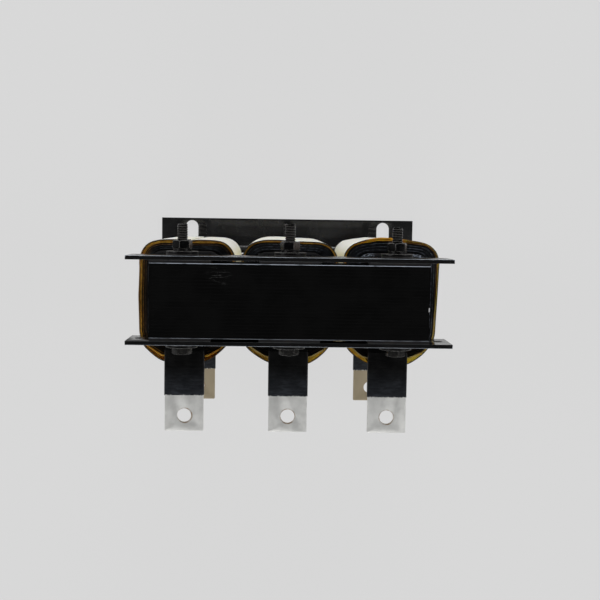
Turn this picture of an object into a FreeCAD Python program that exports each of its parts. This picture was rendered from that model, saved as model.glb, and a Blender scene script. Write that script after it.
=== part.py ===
import FreeCAD, Part
import math
import os
import re
import Sketcher

# Three-phase motor reactor: three foil-wound coils on an upright laminated core.
# X runs along the row of coils, -Y is the terminal side and +Z is up.
# The origin is under the middle limb, on the plane that the feet stand on.

doc = FreeCAD.newDocument("motor_reactor")

# Driving dimensions in millimetres, grouped by the piece they belong to
DRIVING = {
    # core
    "limb_width": 45,
    "stack_depth": 55,
    "yoke_height": 45,
    "window_height": 160,
    "gap_plate_thickness": 2,
    # insulating strips on the limb faces
    "strip_thickness": 2.2,
    # clamp bars and foot angles
    "clamp_overhang": 17.5,
    "clamp_height": 40,
    "clamp_thickness": 3,
    "ear_hole_edge": 8.3,
    "ear_hole_diameter": 7,
    "flange_reach": 61.4,
    "foot_bend_radius": 4,
    "slot_width": 12,
    "slot_length": 20,
    "slot_end_margin": 28.6,
    "slot_side_margin": 2.2,
    # yoke bolts and what sits under their heads and nuts
    "bolt_diameter": 8,
    "bolt_height_in_clamp": 20,
    "bolt_tail_left": 56.2,
    "bolt_tail_middle": 57.3,
    "bolt_tail_right": 55.3,
    "head_height": 5.3,
    "nut_height": 6.5,
    "across_flats": 13,
    "tube_wall": 1,
    "tube_bore_clearance": 0.15,
    "tube_hole_clearance": 0.2,
    "washer_diameter": 24,
    "washer_thickness": 2,
    "washer_bore_clearance": 0.2,
    "insulator_thickness": 1.2,
    "spring_washer_diameter": 13.6,
    "spring_washer_thickness": 1.6,
    "spring_washer_slit": 1,
    # sides of the outlines that stand for small circles and for slack sheet
    "thread_sides": 16,
    "washer_sides": 16,
    "bore_sides": 12,
    "wrap_ease_sides": 4,
    "wrap_back_sides": 6,
    # coil former and the wedges that centre it on the limb
    "wedge_thickness_front": 3.3,
    "wedge_thickness_side": 3,
    "wedge_width_front": 34,
    "wedge_width_side": 44,
    "former_wall": 2,
    "former_corner_radius": 10,
    "former_end_gap": 2,
    # winding
    "turns": 8,
    "foil_thickness": 0.77,
    "interleaf_thickness": 0.3,
    "foil_end_gap": 13,
    "interleaf_end_gap": 10,
    "turn_step_length": 6,
    "corner_facet_angle": 33,
    # outer wrap, and the free space between neighbouring coils
    "coil_gap": 4.9,
    "wrap_thickness": 0.8,
    "wrap_slack": 0.69,
    "wrap_end_gap": 9,
    "wrap_ease_angle": 35,
    "wrap_back_bulge_left": 0.4,
    "wrap_back_bulge_middle": 1.4,
    "wrap_back_bulge_right": 2.4,
    # leads and their sleeves
    "lead_width": 30,
    "lead_thickness": 3,
    "lead_reach": 105,
    "lead_bend_radius": 3,
    "lead_bend_clearance": 0.2,
    "lead_foot_gap": 3,
    "lead_offset_left": -0.6,
    "lead_offset_middle": 0,
    "lead_offset_right": -2.7,
    "terminal_hole_diameter": 11,
    "terminal_hole_edge": 12.2,
    "terminal_corner_bevel": 0.6,
    "bare_length": 28,
    "sleeve_thickness": 0.8,
    "sleeve_corner_bevel": 0.5,
    "sleeve_bend_gap": 1,
}

sheet = doc.addObject("Spreadsheet::Sheet", "sizes")
for row, (alias, value) in enumerate(DRIVING.items(), start=1):
    sheet.set(f"A{row}", alias)
    sheet.set(f"B{row}", str(value))
    sheet.setAlias(f"B{row}", alias)
doc.recompute()

# Sizes that follow from the driving ones
PITCH = "(foil_thickness + interleaf_thickness)"
PACK = f"(turns * {PITCH})"
FORMER_WIDTH = "(limb_width + 2 * wedge_thickness_side + 2 * former_wall)"
COIL_WIDTH = f"({FORMER_WIDTH} + 2 * {PACK} + 2 * wrap_slack + 2 * wrap_thickness)"
LIMB_PITCH = f"({COIL_WIDTH} + coil_gap)"
CORE_LENGTH = f"(2 * {LIMB_PITCH} + limb_width)"
CORE_HEIGHT = "(2 * yoke_height + window_height)"
CORE_FACE = "(stack_depth / 2)"
CLAMP_INNER = "(stack_depth / 2 + strip_thickness)"
CLAMP_OUTER = f"({CLAMP_INNER} + clamp_thickness)"
CLAMP_LENGTH = f"({CORE_LENGTH} + 2 * clamp_overhang)"
EAR_HOLE_SPAN = f"({CLAMP_LENGTH} - 2 * ear_hole_edge)"
SLOT_SPAN_X = f"({CLAMP_LENGTH} - 2 * slot_end_margin)"
SLOT_SPAN_Y = "(2 * flange_reach - 2 * slot_side_margin - slot_length)"
BLOCK_HEIGHT = "((window_height - 4 * gap_plate_thickness) / 3)"
UPPER_BOLTS = f"({CORE_HEIGHT} - bolt_height_in_clamp)"
LOWER_BOLTS = "bolt_height_in_clamp"
TUBE_BORE = "(bolt_diameter / 2 + tube_bore_clearance)"
TUBE_RADIUS = f"({TUBE_BORE} + tube_wall)"
CLAMP_HOLE = f"({TUBE_RADIUS} + tube_hole_clearance)"
WASHER_BORE = "(bolt_diameter / 2 + washer_bore_clearance)"
FORMER_DEPTH = f"(2 * {CLAMP_INNER} + 2 * wedge_thickness_front + 2 * former_wall)"
INSULATOR_FACE = f"({CLAMP_OUTER} + insulator_thickness)"
WASHER_FACE = f"({INSULATOR_FACE} + washer_thickness)"
SPRING_FACE = f"({WASHER_FACE} + spring_washer_thickness)"
START_LEG = f"({FORMER_DEPTH} / 2)"
START_LEG_FRONT = f"({START_LEG} + lead_thickness)"
FINISH_LEG = f"({START_LEG_FRONT} + {PACK} + foil_thickness)"
FINISH_LEG_FRONT = f"({FINISH_LEG} + lead_thickness)"
LEAD_GAP = "(wrap_end_gap - lead_bend_radius - lead_bend_clearance)"
START_BAR_LEVEL = f"({CORE_HEIGHT} - yoke_height - {LEAD_GAP})"
FINISH_BAR_LEVEL = f"(yoke_height + {LEAD_GAP})"

COILS = {"left": f"(-{LIMB_PITCH})", "middle": "0", "right": LIMB_PITCH}
SIDES = {"front": -1, "back": 1}


def formula(text):
    """Turns plain size names into references to the sheet."""
    def refer(match):
        word = match.group()
        return f"sizes.{word}" if word in DRIVING else word
    return re.sub(r"[A-Za-z_]+", refer, str(text))


def number(text):
    """The present value of a formula, in millimetres or degrees."""
    return float(sheet.evalExpression(formula(text)))


def bind(piece, **formulas):
    """Ties properties of a piece to formulas on the sheet."""
    for name, text in formulas.items():
        piece.setExpression(name, formula(text))
    return piece


def place(piece, x="0", y="0", z="0"):
    """Ties the position of a piece to formulas, and leaves its rotation as it is."""
    for axis, text in zip("xyz", (x, y, z)):
        piece.setExpression(f"Placement.Base.{axis}", formula(text))
    return piece


def turned(axis, angle):
    """A placement at the origin, turned about one axis."""
    return FreeCAD.Placement(FreeCAD.Vector(), FreeCAD.Rotation(FreeCAD.Vector(*axis), angle))


ALONG_Y = turned((1, 0, 0), -90)


def block(name, length, depth, height, x, y, z):
    """A rectangular block, from its low corner."""
    piece = doc.addObject("Part::Box", name)
    bind(piece, Length=length, Width=depth, Height=height)
    return place(piece, x, y, z)


def rod(name, sides, radius, length, x, y, z):
    """A many-sided bar along +Y, from the centre of its near end to its far end."""
    piece = doc.addObject("Part::Prism", name)
    bind(piece, Polygon=sides, Circumradius=radius, Height=length)
    piece.Placement = ALONG_Y
    return place(piece, x, y, z)


def round_the(radius):
    """Corner radius of a many-sided bore whose flats touch a circle of this radius."""
    return f"({radius} / cos(180 / bore_sides))"


def cut(name, base, tools):
    """The base with every tool taken out of it."""
    tool = tools[0]
    if len(tools) > 1:
        tool = doc.addObject("Part::MultiFuse", f"{name}_cutters")
        tool.Shapes = tools
    piece = doc.addObject("Part::Cut", name)
    piece.Base = base
    piece.Tool = tool
    return piece


def group(name, members):
    """Loose solids of one kind that share a node."""
    piece = doc.addObject("Part::Compound", name)
    piece.Links = members
    return piece


def shaped(name, shape):
    """A piece whose outline is computed below, as it has no standard feature."""
    piece = doc.addObject("Part::Feature", name)
    piece.Shape = shape
    return piece


subparts = []


def keep(piece, label):
    """Registers a finished sub-part under the name of its node."""
    piece.Label = label
    subparts.append(piece)
    return piece


# Sketches for the folded and punched pieces


def new_body(name):
    return doc.addObject("PartDesign::Body", name)


def new_sketch(body, name, role):
    """A sketch on one of the body's own origin planes."""
    sketch = body.newObject("Sketcher::SketchObject", name)
    plane = next(item for item in body.Origin.OriginFeatures if item.Role == role)
    sketch.AttachmentSupport = [(plane, "")]
    sketch.MapMode = "FlatFace"
    return sketch


def fix(sketch, kind, geometry, point, text, tag):
    """Ties one coordinate of a sketch point, measured from the sketch's origin."""
    index = sketch.addConstraint(
        Sketcher.Constraint(kind, -1, 1, geometry, point, number(text)))
    sketch.renameConstraint(index, tag)
    sketch.setExpression(f"Constraints.{tag}", formula(text))


def draw_polygon(sketch, corners, tag):
    """A closed outline through corners given as pairs of formulas."""
    points = [FreeCAD.Vector(number(x), number(y), 0) for x, y in corners]
    first = sketch.GeometryCount
    count = len(points)
    for i, point in enumerate(points):
        sketch.addGeometry(Part.LineSegment(point, points[(i + 1) % count]), False)
    for i, (x, y) in enumerate(corners):
        sketch.addConstraint(Sketcher.Constraint(
            "Coincident", first + i, 2, first + (i + 1) % count, 1))
        fix(sketch, "DistanceX", first + i, 1, x, f"{tag}_x{i}")
        fix(sketch, "DistanceY", first + i, 1, y, f"{tag}_y{i}")


def draw_rectangle(sketch, low, high, tag):
    """A rectangle from its low corner to its high corner."""
    (left, bottom), (right, top) = low, high
    corners = [(left, bottom), (right, bottom), (right, top), (left, top)]
    draw_polygon(sketch, corners, tag)


def draw_circle(sketch, x, y, radius, tag):
    """A circle with its centre and radius tied to formulas."""
    centre = FreeCAD.Vector(number(x), number(y), 0)
    index = sketch.addGeometry(
        Part.Circle(centre, FreeCAD.Vector(0, 0, 1), number(radius)), False)
    fix(sketch, "DistanceX", index, 3, x, f"{tag}_x")
    fix(sketch, "DistanceY", index, 3, y, f"{tag}_y")
    rule = sketch.addConstraint(Sketcher.Constraint("Radius", index, number(radius)))
    sketch.renameConstraint(rule, f"{tag}_r")
    sketch.setExpression(f"Constraints.{tag}_r", formula(radius))


def draw_bore(sketch, x, y, radius, tag):
    """A many-sided bore for a bolt, with its flats on a circle."""
    reach = round_the(radius)
    count = DRIVING["bore_sides"]
    corners = []
    for step in range(count):
        turn = f"({step} * 360 / bore_sides)"
        corners.append((f"{x} + {reach} * cos({turn})", f"{y} + {reach} * sin({turn})"))
    draw_polygon(sketch, corners, tag)


def draw_slot(sketch, x, y, width, length, tag):
    """A slot with round ends, along the sketch's vertical axis."""
    radius = f"({width} / 2)"
    half = f"(({length} - {width}) / 2)"
    centre_x = number(x)
    reach = number(radius)
    up = FreeCAD.Vector(0, 0, 1)
    ends = []
    for side, start in ((1, 0.0), (-1, math.pi)):
        level = f"({y} + {side} * {half})"
        centre = FreeCAD.Vector(centre_x, number(level), 0)
        circle = Part.Circle(centre, up, reach)
        index = sketch.addGeometry(Part.ArcOfCircle(circle, start, start + math.pi), False)
        fix(sketch, "DistanceX", index, 3, x, f"{tag}_x{index}")
        fix(sketch, "DistanceY", index, 3, level, f"{tag}_y{index}")
        rule = sketch.addConstraint(Sketcher.Constraint("Radius", index, reach))
        sketch.renameConstraint(rule, f"{tag}_r{index}")
        sketch.setExpression(f"Constraints.{tag}_r{index}", formula(radius))
        ends.append((index, number(level)))
    (top, top_level), (bottom, bottom_level) = ends
    left = sketch.addGeometry(Part.LineSegment(
        FreeCAD.Vector(centre_x - reach, top_level, 0),
        FreeCAD.Vector(centre_x - reach, bottom_level, 0)), False)
    right = sketch.addGeometry(Part.LineSegment(
        FreeCAD.Vector(centre_x + reach, bottom_level, 0),
        FreeCAD.Vector(centre_x + reach, top_level, 0)), False)
    for one, its_end, other, other_end in (
            (top, 2, left, 1), (left, 2, bottom, 1), (bottom, 2, right, 1), (right, 2, top, 1)):
        sketch.addConstraint(Sketcher.Constraint("Tangent", one, its_end, other, other_end))


def pad(body, sketch, name, length):
    """Thickens a sketch to both sides of its plane."""
    feature = body.newObject("PartDesign::Pad", name)
    feature.Profile = sketch
    feature.SideType = "Symmetric"
    bind(feature, Length=length)
    doc.recompute()
    return feature


def punch(body, sketch, name, reach):
    """Cuts a sketch out to both sides of its plane, and makes sure that it cut."""
    before = body.Shape.Volume
    feature = body.newObject("PartDesign::Pocket", name)
    feature.Profile = sketch
    feature.SideType = "Symmetric"
    bind(feature, Length=reach)
    doc.recompute()
    if not feature.Shape.Volume < before:
        raise RuntimeError(f"{name} cuts nothing")
    return feature


def straight_edges(feature, axis, test):
    """Names of the straight edges along one axis whose middle passes a test."""
    names = []
    for index, edge in enumerate(feature.Shape.Edges, start=1):
        if len(edge.Vertexes) != 2:
            continue
        run = edge.Vertexes[1].Point - edge.Vertexes[0].Point
        if abs(abs(run.dot(axis)) - edge.Length) < 1e-6 and test(edge.CenterOfMass):
            names.append(f"Edge{index}")
    return names


def round_edges(body, feature, name, edges, radius):
    """Rounds the named edges of a feature."""
    fillet = body.newObject("PartDesign::Fillet", name)
    fillet.Base = (feature, edges)
    bind(fillet, Radius=radius)
    doc.recompute()
    return fillet


def bevel_edges(body, feature, name, edges, size):
    """Cuts the named edges of a feature off at an even slant."""
    chamfer = body.newObject("PartDesign::Chamfer", name)
    chamfer.Base = (feature, edges)
    bind(chamfer, Size=size)
    doc.recompute()
    return chamfer


X_AXIS = FreeCAD.Vector(1, 0, 0)
Y_AXIS = FreeCAD.Vector(0, 1, 0)
Z_AXIS = FreeCAD.Vector(0, 0, 1)

# Yokes: laminated stacks with a hole for the tube of each bolt


def clamp_holes(name, level, depth):
    """Cutters for the three bolt tubes at one level, through a given depth."""
    return [
        rod(f"{name}_{coil}_hole", "bore_sides", round_the(CLAMP_HOLE),
            f"2 * {depth}", x, f"-{depth}", level)
        for coil, x in COILS.items()
    ]


def yoke(name, bottom, level):
    stack = block(f"{name}_stack", CORE_LENGTH, "stack_depth", "yoke_height",
                  f"-{CORE_LENGTH} / 2", f"-{CORE_FACE}", bottom)
    return keep(cut(name, stack, clamp_holes(name, level, "stack_depth")), name)


yoke("bottom_yoke", "0", LOWER_BOLTS)
yoke("top_yoke", "yoke_height + window_height", UPPER_BOLTS)

# Limbs: three laminated blocks each, with a gap plate below, between and above them


def limb_slab(name, coil_x, level, height):
    return block(name, "limb_width", "stack_depth", height,
                 f"{coil_x} - limb_width / 2", f"-{CORE_FACE}", level)


gap_plates = []
for coil, x in COILS.items():
    for step, which in enumerate(("lower", "centre", "upper")):
        bottom = f"yoke_height + {step} * ({BLOCK_HEIGHT} + gap_plate_thickness)"
        name = f"{coil}_limb_{which}_block"
        keep(limb_slab(name, x, f"{bottom} + gap_plate_thickness", BLOCK_HEIGHT), name)
        gap_plates.append(limb_slab(f"{name}_gap", x, bottom, "gap_plate_thickness"))
    last = "yoke_height + window_height - gap_plate_thickness"
    gap_plates.append(limb_slab(f"{coil}_limb_top_gap", x, last, "gap_plate_thickness"))
keep(group("gap_plates", gap_plates), "gap_plates")

# Insulating strips: full height, between each limb and the clamps, drilled for the bolts

for coil, x in COILS.items():
    for side, sign in SIDES.items():
        name = f"{coil}_{side}_strip"
        near = CORE_FACE if sign > 0 else f"-{CLAMP_INNER}"
        board = block(f"{name}_board", "limb_width", "strip_thickness", CORE_HEIGHT,
                      f"{x} - limb_width / 2", near, "0")
        holes = [
            rod(f"{name}_hole_{i}", "bore_sides", round_the(CLAMP_HOLE),
                "3 * strip_thickness", x, f"{near} - strip_thickness", level)
            for i, level in enumerate((LOWER_BOLTS, UPPER_BOLTS))
        ]
        keep(cut(name, board, holes), name)

# Clamp bars: flat bars with a bolt hole at each limb and a smaller hole in each ear


def clamp_bar(name, middle_plane):
    body = new_body(name)
    outline = new_sketch(body, f"{name}_outline", "XZ_Plane")
    low = (f"-{CLAMP_LENGTH} / 2", f"{CORE_HEIGHT} - clamp_height")
    draw_rectangle(outline, low, (f"{CLAMP_LENGTH} / 2", CORE_HEIGHT), "edge")
    pad(body, outline, f"{name}_bar", "clamp_thickness")
    holes = new_sketch(body, f"{name}_holes", "XZ_Plane")
    for coil, x in COILS.items():
        draw_bore(holes, x, UPPER_BOLTS, CLAMP_HOLE, f"bolt_{coil}")
    for side, sign in (("left", "-1"), ("right", "1")):
        draw_circle(holes, f"{sign} * {EAR_HOLE_SPAN} / 2", UPPER_BOLTS,
                    "ear_hole_diameter / 2", f"ear_{side}")
    punch(body, holes, f"{name}_punching", "2 * clamp_thickness")
    place(body, y=middle_plane)
    return keep(body, name)


CLAMP_MIDDLE = f"({CLAMP_INNER} + clamp_thickness / 2)"
clamp_bar("clamp_bar_front", f"-{CLAMP_MIDDLE}")
clamp_bar("clamp_bar_back", CLAMP_MIDDLE)

# Foot angles: folded once, drilled for the lower bolts and slotted for fixing screws


def foot_angle(name, angle):
    body = new_body(name)
    profile = new_sketch(body, f"{name}_profile", "YZ_Plane")
    corners = [
        (CLAMP_INNER, "0"), ("flange_reach", "0"), ("flange_reach", "clamp_thickness"),
        (CLAMP_OUTER, "clamp_thickness"), (CLAMP_OUTER, "clamp_height"),
        (CLAMP_INNER, "clamp_height"),
    ]
    draw_polygon(profile, corners, "edge")
    fold = pad(body, profile, f"{name}_fold", CLAMP_LENGTH)
    heel_y = number(CLAMP_INNER)
    heel = straight_edges(fold, X_AXIS, lambda c: c.z < 0.001 and abs(c.y - heel_y) < 0.001)
    fold = round_edges(body, fold, f"{name}_heel", heel, "foot_bend_radius + clamp_thickness")
    inner_y = number(CLAMP_OUTER)
    inner_z = number("clamp_thickness")
    throat = straight_edges(
        fold, X_AXIS, lambda c: abs(c.y - inner_y) < 0.001 and abs(c.z - inner_z) < 0.001)
    round_edges(body, fold, f"{name}_throat", throat, "foot_bend_radius")
    holes = new_sketch(body, f"{name}_holes", "XZ_Plane")
    for coil, x in COILS.items():
        draw_bore(holes, x, LOWER_BOLTS, CLAMP_HOLE, f"bolt_{coil}")
    punch(body, holes, f"{name}_drilling", f"3 * {CLAMP_OUTER}")
    slots = new_sketch(body, f"{name}_slots", "XY_Plane")
    for side, sign in (("left", "-1"), ("right", "1")):
        draw_slot(slots, f"{sign} * {SLOT_SPAN_X} / 2", f"{SLOT_SPAN_Y} / 2",
                  "slot_width", "slot_length", side)
    punch(body, slots, f"{name}_slotting", "3 * clamp_thickness")
    body.Placement = turned((0, 0, 1), angle)
    return keep(body, name)


foot_angle("foot_angle_back", 0)
foot_angle("foot_angle_front", 180)

# Yoke bolts, each with an insulating tube, washers on both sides, a spring washer and a nut


def hexagon(name, height, x, y, z):
    """A hexagonal prism along +Y, from the centre of its near face."""
    return rod(f"{name}_prism", "6", "across_flats / 2 / cos(30)", height, x, y, z)


def nut(name, x, z):
    prism = hexagon(name, "nut_height", x, SPRING_FACE, z)
    thread = rod(f"{name}_thread", "thread_sides", "bolt_diameter / 2", "3 * nut_height",
                 x, f"{SPRING_FACE} - nut_height", z)
    return cut(name, prism, [thread])


def bolt(name, x, z, tail):
    head = hexagon(f"{name}_head", "head_height", x, f"-{WASHER_FACE} - head_height", z)
    shank = rod(f"{name}_shank", "thread_sides", "bolt_diameter / 2",
                f"{WASHER_FACE} + {tail}", x, f"-{WASHER_FACE}", z)
    piece = doc.addObject("Part::Fuse", name)
    piece.Base = head
    piece.Tool = shank
    return piece


def ring(name, sides, outer, inner, thickness, x, y, z):
    disc = rod(f"{name}_disc", sides, outer, thickness, x, y, z)
    bore = rod(f"{name}_bore", "bore_sides", round_the(inner), f"3 * {thickness}",
               x, f"{y} - {thickness}", z)
    return cut(name, disc, [bore])


def spring_washer(name, x, z):
    body = ring(f"{name}_ring", "washer_sides", "spring_washer_diameter / 2", WASHER_BORE,
                "spring_washer_thickness", x, WASHER_FACE, z)
    slit = block(f"{name}_slit", "spring_washer_slit", "3 * spring_washer_thickness",
                 "spring_washer_diameter", f"{x} - spring_washer_slit / 2",
                 f"{WASHER_FACE} - spring_washer_thickness", z)
    return cut(name, body, [slit])


LEVELS = {"upper": UPPER_BOLTS, "lower": LOWER_BOLTS}
bolts = {level: [] for level in LEVELS}
nuts, tubes, springs, steel_washers, insulating_washers = [], [], [], [], []
for level, z in LEVELS.items():
    for coil, x in COILS.items():
        tag = f"{level}_{coil}"
        bolts[level].append(bolt(f"bolt_{tag}", x, z, f"bolt_tail_{coil}"))
        nuts.append(nut(f"nut_{tag}", x, z))
        springs.append(spring_washer(f"spring_{tag}", x, z))
        tubes.append(ring(f"tube_{tag}", "bore_sides", TUBE_RADIUS, TUBE_BORE,
                          f"(2 * {CLAMP_OUTER})", x, f"-{CLAMP_OUTER}", z))
        for side, near in (("front", f"-{INSULATOR_FACE}"), ("back", CLAMP_OUTER)):
            insulating_washers.append(ring(
                f"insulator_{tag}_{side}", "washer_sides", "washer_diameter / 2", WASHER_BORE,
                "insulator_thickness", x, near, z))
        for side, near in (("front", f"-{WASHER_FACE}"), ("back", INSULATOR_FACE)):
            steel_washers.append(ring(
                f"washer_{tag}_{side}", "washer_sides", "washer_diameter / 2", WASHER_BORE,
                "washer_thickness", x, near, z))
keep(group("upper_bolts_group", bolts["upper"]), "upper_yoke_bolts")
keep(group("lower_bolts_group", bolts["lower"]), "lower_yoke_bolts")
keep(group("nuts_group", nuts), "yoke_bolt_nuts")
keep(group("springs_group", springs), "spring_washers")
keep(group("tubes_group", tubes), "bolt_insulating_tubes")
keep(group("steel_washers_group", steel_washers), "steel_washers")
keep(group("insulating_washers_group", insulating_washers), "insulating_washers")

# Coil former: a board tube round the limb, held by packing wedges on its four sides


def former_corners(wall):
    """Corners of the former's outline, a wall's thickness inside its outer face."""
    radius = f"(former_corner_radius - {wall})"
    corners = []
    for quarter, (side_x, side_y) in enumerate(((1, 1), (-1, 1), (-1, -1), (1, -1))):
        hub_x = f"{side_x} * ({FORMER_WIDTH} / 2 - former_corner_radius)"
        hub_y = f"{side_y} * ({FORMER_DEPTH} / 2 - former_corner_radius)"
        for angle in (0, 30, 60, 90):
            turn = 90 * quarter + angle
            corners.append((f"{hub_x} + {radius} * cos({turn})",
                            f"{hub_y} + {radius} * sin({turn})"))
    return corners


def former(name, coil_x):
    body = new_body(name)
    outline = new_sketch(body, f"{name}_outline", "XY_Plane")
    draw_polygon(outline, former_corners("0"), "edge")
    pad(body, outline, f"{name}_blank", "window_height - 2 * former_end_gap")
    inside = new_sketch(body, f"{name}_inside", "XY_Plane")
    draw_polygon(inside, former_corners("former_wall"), "edge")
    punch(body, inside, f"{name}_bore", "2 * window_height")
    place(body, coil_x, "0", f"{CORE_HEIGHT} / 2")
    return keep(body, name)


def wedges(name, coil_x):
    """Four boards that fill the space between the limb with its strips and the former."""
    level = "yoke_height + former_end_gap"
    height = "window_height - 2 * former_end_gap"
    front, side = "wedge_thickness_front", "wedge_thickness_side"
    boards = [
        block(f"{name}_front", "wedge_width_front", front, height,
              f"{coil_x} - wedge_width_front / 2", f"-{CLAMP_INNER} - {front}", level),
        block(f"{name}_back", "wedge_width_front", front, height,
              f"{coil_x} - wedge_width_front / 2", CLAMP_INNER, level),
        block(f"{name}_left", side, "wedge_width_side", height,
              f"{coil_x} - limb_width / 2 - {side}", "-wedge_width_side / 2", level),
        block(f"{name}_right", side, "wedge_width_side", height,
              f"{coil_x} + limb_width / 2", "-wedge_width_side / 2", level),
    ]
    return keep(group(f"{name}_group", boards), name)


# Winding: foil and interleaf are one spiral pair, wound over the start lead's leg.
# Every turn is parallel to the taut outline round the former and that leg, and steps
# outwards by one pitch on the flat of the leg. The corners are drawn as short facets.


def turn_corners(lead_x):
    """Centre, base radius, and first and last normal of each rounded corner of a turn."""
    radius = number("former_corner_radius")
    across = number(f"{FORMER_WIDTH} / 2") - radius
    along = number(f"{FORMER_DEPTH} / 2") - radius
    leg = number("lead_width / 2")
    leg_front = number(START_LEG_FRONT)

    def slant(leg_x, side):
        """Normal of the taut stretch from a leg edge to the former's corner, in degrees."""
        dx = across - side * leg_x
        dy = leg_front - along
        return math.degrees(math.atan2(dy, dx) - math.acos(-radius / math.hypot(dx, dy)))

    right = slant(lead_x + leg, 1)
    left = slant(lead_x - leg, -1)
    return [
        ((lead_x + leg, -leg_front), 0.0, -90.0, right),
        ((across, -along), radius, right, 0.0),
        ((across, along), radius, 0.0, 90.0),
        ((-across, along), radius, 90.0, 180.0),
        ((-across, -along), radius, 180.0, 180.0 - left),
        ((lead_x - leg, -leg_front), 0.0, 180.0 - left, 270.0),
    ]


def facet_points(corners, offset):
    """Corner points of the facets that touch each rounded corner from outside, in order."""
    points = []
    for (cx, cy), base, first, last in corners:
        steps = math.ceil((last - first) / number("corner_facet_angle"))
        step = math.radians(last - first) / steps
        reach = (base + offset) / math.cos(step / 2)
        for i in range(steps):
            angle = math.radians(first) + (i + 0.5) * step
            point = FreeCAD.Vector(cx + reach * math.cos(angle), cy + reach * math.sin(angle), 0)
            if not points or (point - points[-1]).Length > 0.001:
                points.append(point)
    return points


def spiral_edge(lead_x, shift, last_flat):
    """One edge line of the wound strip, at a shift from the strip's inner face."""
    corners = turn_corners(lead_x)
    pitch = number(PITCH)
    flat = number(START_LEG_FRONT) + shift
    left = lead_x - number("lead_width / 2")
    start = left + number("turn_step_length")
    count = int(number("turns"))
    points = []
    for turn in range(count):
        offset = turn * pitch
        points.append(FreeCAD.Vector(start, -flat - offset, 0))
        points += facet_points(corners, offset + shift)
        points.append(FreeCAD.Vector(left, -flat - offset, 0))
    if last_flat:
        points.append(FreeCAD.Vector(start, -flat - count * pitch, 0))
        right = lead_x + number("lead_width / 2")
        points.append(FreeCAD.Vector(right, -flat - count * pitch, 0))
    return points


def wound_strip(name, coil_x, lead_x, inner, outer, last_flat, end_gap):
    """A strip wound edge on, as a prism between two spiral edge lines."""
    inside = spiral_edge(lead_x, inner, last_flat)
    outside = spiral_edge(lead_x, outer, last_flat)
    outline = inside + outside[::-1] + inside[:1]
    face = Part.Face(Part.makePolygon(outline))
    height = number(f"window_height - 2 * {end_gap}")
    piece = shaped(name, face.extrude(FreeCAD.Vector(0, 0, height)))
    place(piece, coil_x, "0", f"yoke_height + {end_gap}")
    return keep(piece, name)


def foil_winding(name, coil_x, lead_x):
    thickness = number("foil_thickness")
    return wound_strip(name, coil_x, lead_x, 0.0, thickness, True, "foil_end_gap")


def interleaf(name, coil_x, lead_x):
    thickness = number("foil_thickness")
    return wound_strip(name, coil_x, lead_x, thickness, number(PITCH), False,
                       "interleaf_end_gap")


# Outer wrap: a thin sleeve, tight on the sides, slack at the back and over the finish lead


def arc_points(start, crown, end, sides):
    """Points that divide an arc into equal runs, without its start."""
    arc = Part.Arc(start, crown, end).toShape()
    return arc.discretize(int(number(sides)) + 1)[1:]


def eased_points(start, hub, radius, degrees):
    """Points of an arc that runs smoothly into a corner circle at a given normal."""
    angle = math.radians(degrees)
    outward = FreeCAD.Vector(math.cos(angle), math.sin(angle), 0)
    end = hub + outward * radius
    run = end - start
    large = run.Length ** 2 / (2 * run.dot(outward))
    centre = end - outward * large
    crown = centre + ((start + end) / 2 - centre).normalize() * large
    return arc_points(start, crown, end, "wrap_ease_sides")


def wrap_outline(lead_x, bulge):
    """Inner line of the wrap, anticlockwise from the left edge of the finish lead."""
    radius = number(f"former_corner_radius + {PACK} + wrap_slack")
    across = number(f"{FORMER_WIDTH} / 2 - former_corner_radius")
    along = number(f"{FORMER_DEPTH} / 2 - former_corner_radius")
    half = number("lead_width / 2")
    front = number(FINISH_LEG_FRONT)
    ease = number("wrap_ease_angle")
    front_left = FreeCAD.Vector(lead_x - half, -front, 0)
    front_right = FreeCAD.Vector(lead_x + half, -front, 0)
    right_ease = eased_points(front_right, FreeCAD.Vector(across, -along, 0), radius, -ease)
    left_ease = eased_points(front_left, FreeCAD.Vector(-across, -along, 0), radius,
                             180 + ease)
    back_right = FreeCAD.Vector(across, along + radius, 0)
    back_left = FreeCAD.Vector(-across, along + radius, 0)
    crown = FreeCAD.Vector(0, along + radius + bulge, 0)
    points = [front_left, front_right] + right_ease
    points += facet_points([((across, -along), radius, -ease, 0.0),
                            ((across, along), radius, 0.0, 90.0)], 0.0)
    points += [back_right] + arc_points(
        back_right, crown, back_left, "wrap_back_sides")
    points += facet_points([((-across, along), radius, 90.0, 180.0),
                            ((-across, -along), radius, 180.0, 180.0 + ease)], 0.0)
    return points + left_ease[::-1]


def outer_wrap(name, coil_x, lead_x, bulge):
    points = wrap_outline(lead_x, bulge)
    inner = Part.makePolygon(points + points[:1])
    outer = inner.makeOffset2D(number("wrap_thickness"), join=2)
    sheet_face = Part.Face(outer).cut(Part.Face(inner)).Faces[0]
    height = number("window_height - 2 * wrap_end_gap")
    piece = shaped(name, sheet_face.extrude(FreeCAD.Vector(0, 0, height)))
    place(piece, coil_x, "0", "yoke_height + wrap_end_gap")
    return keep(piece, name)


# Leads: flat bars that run up or down the coil and bend once towards the front


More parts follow.
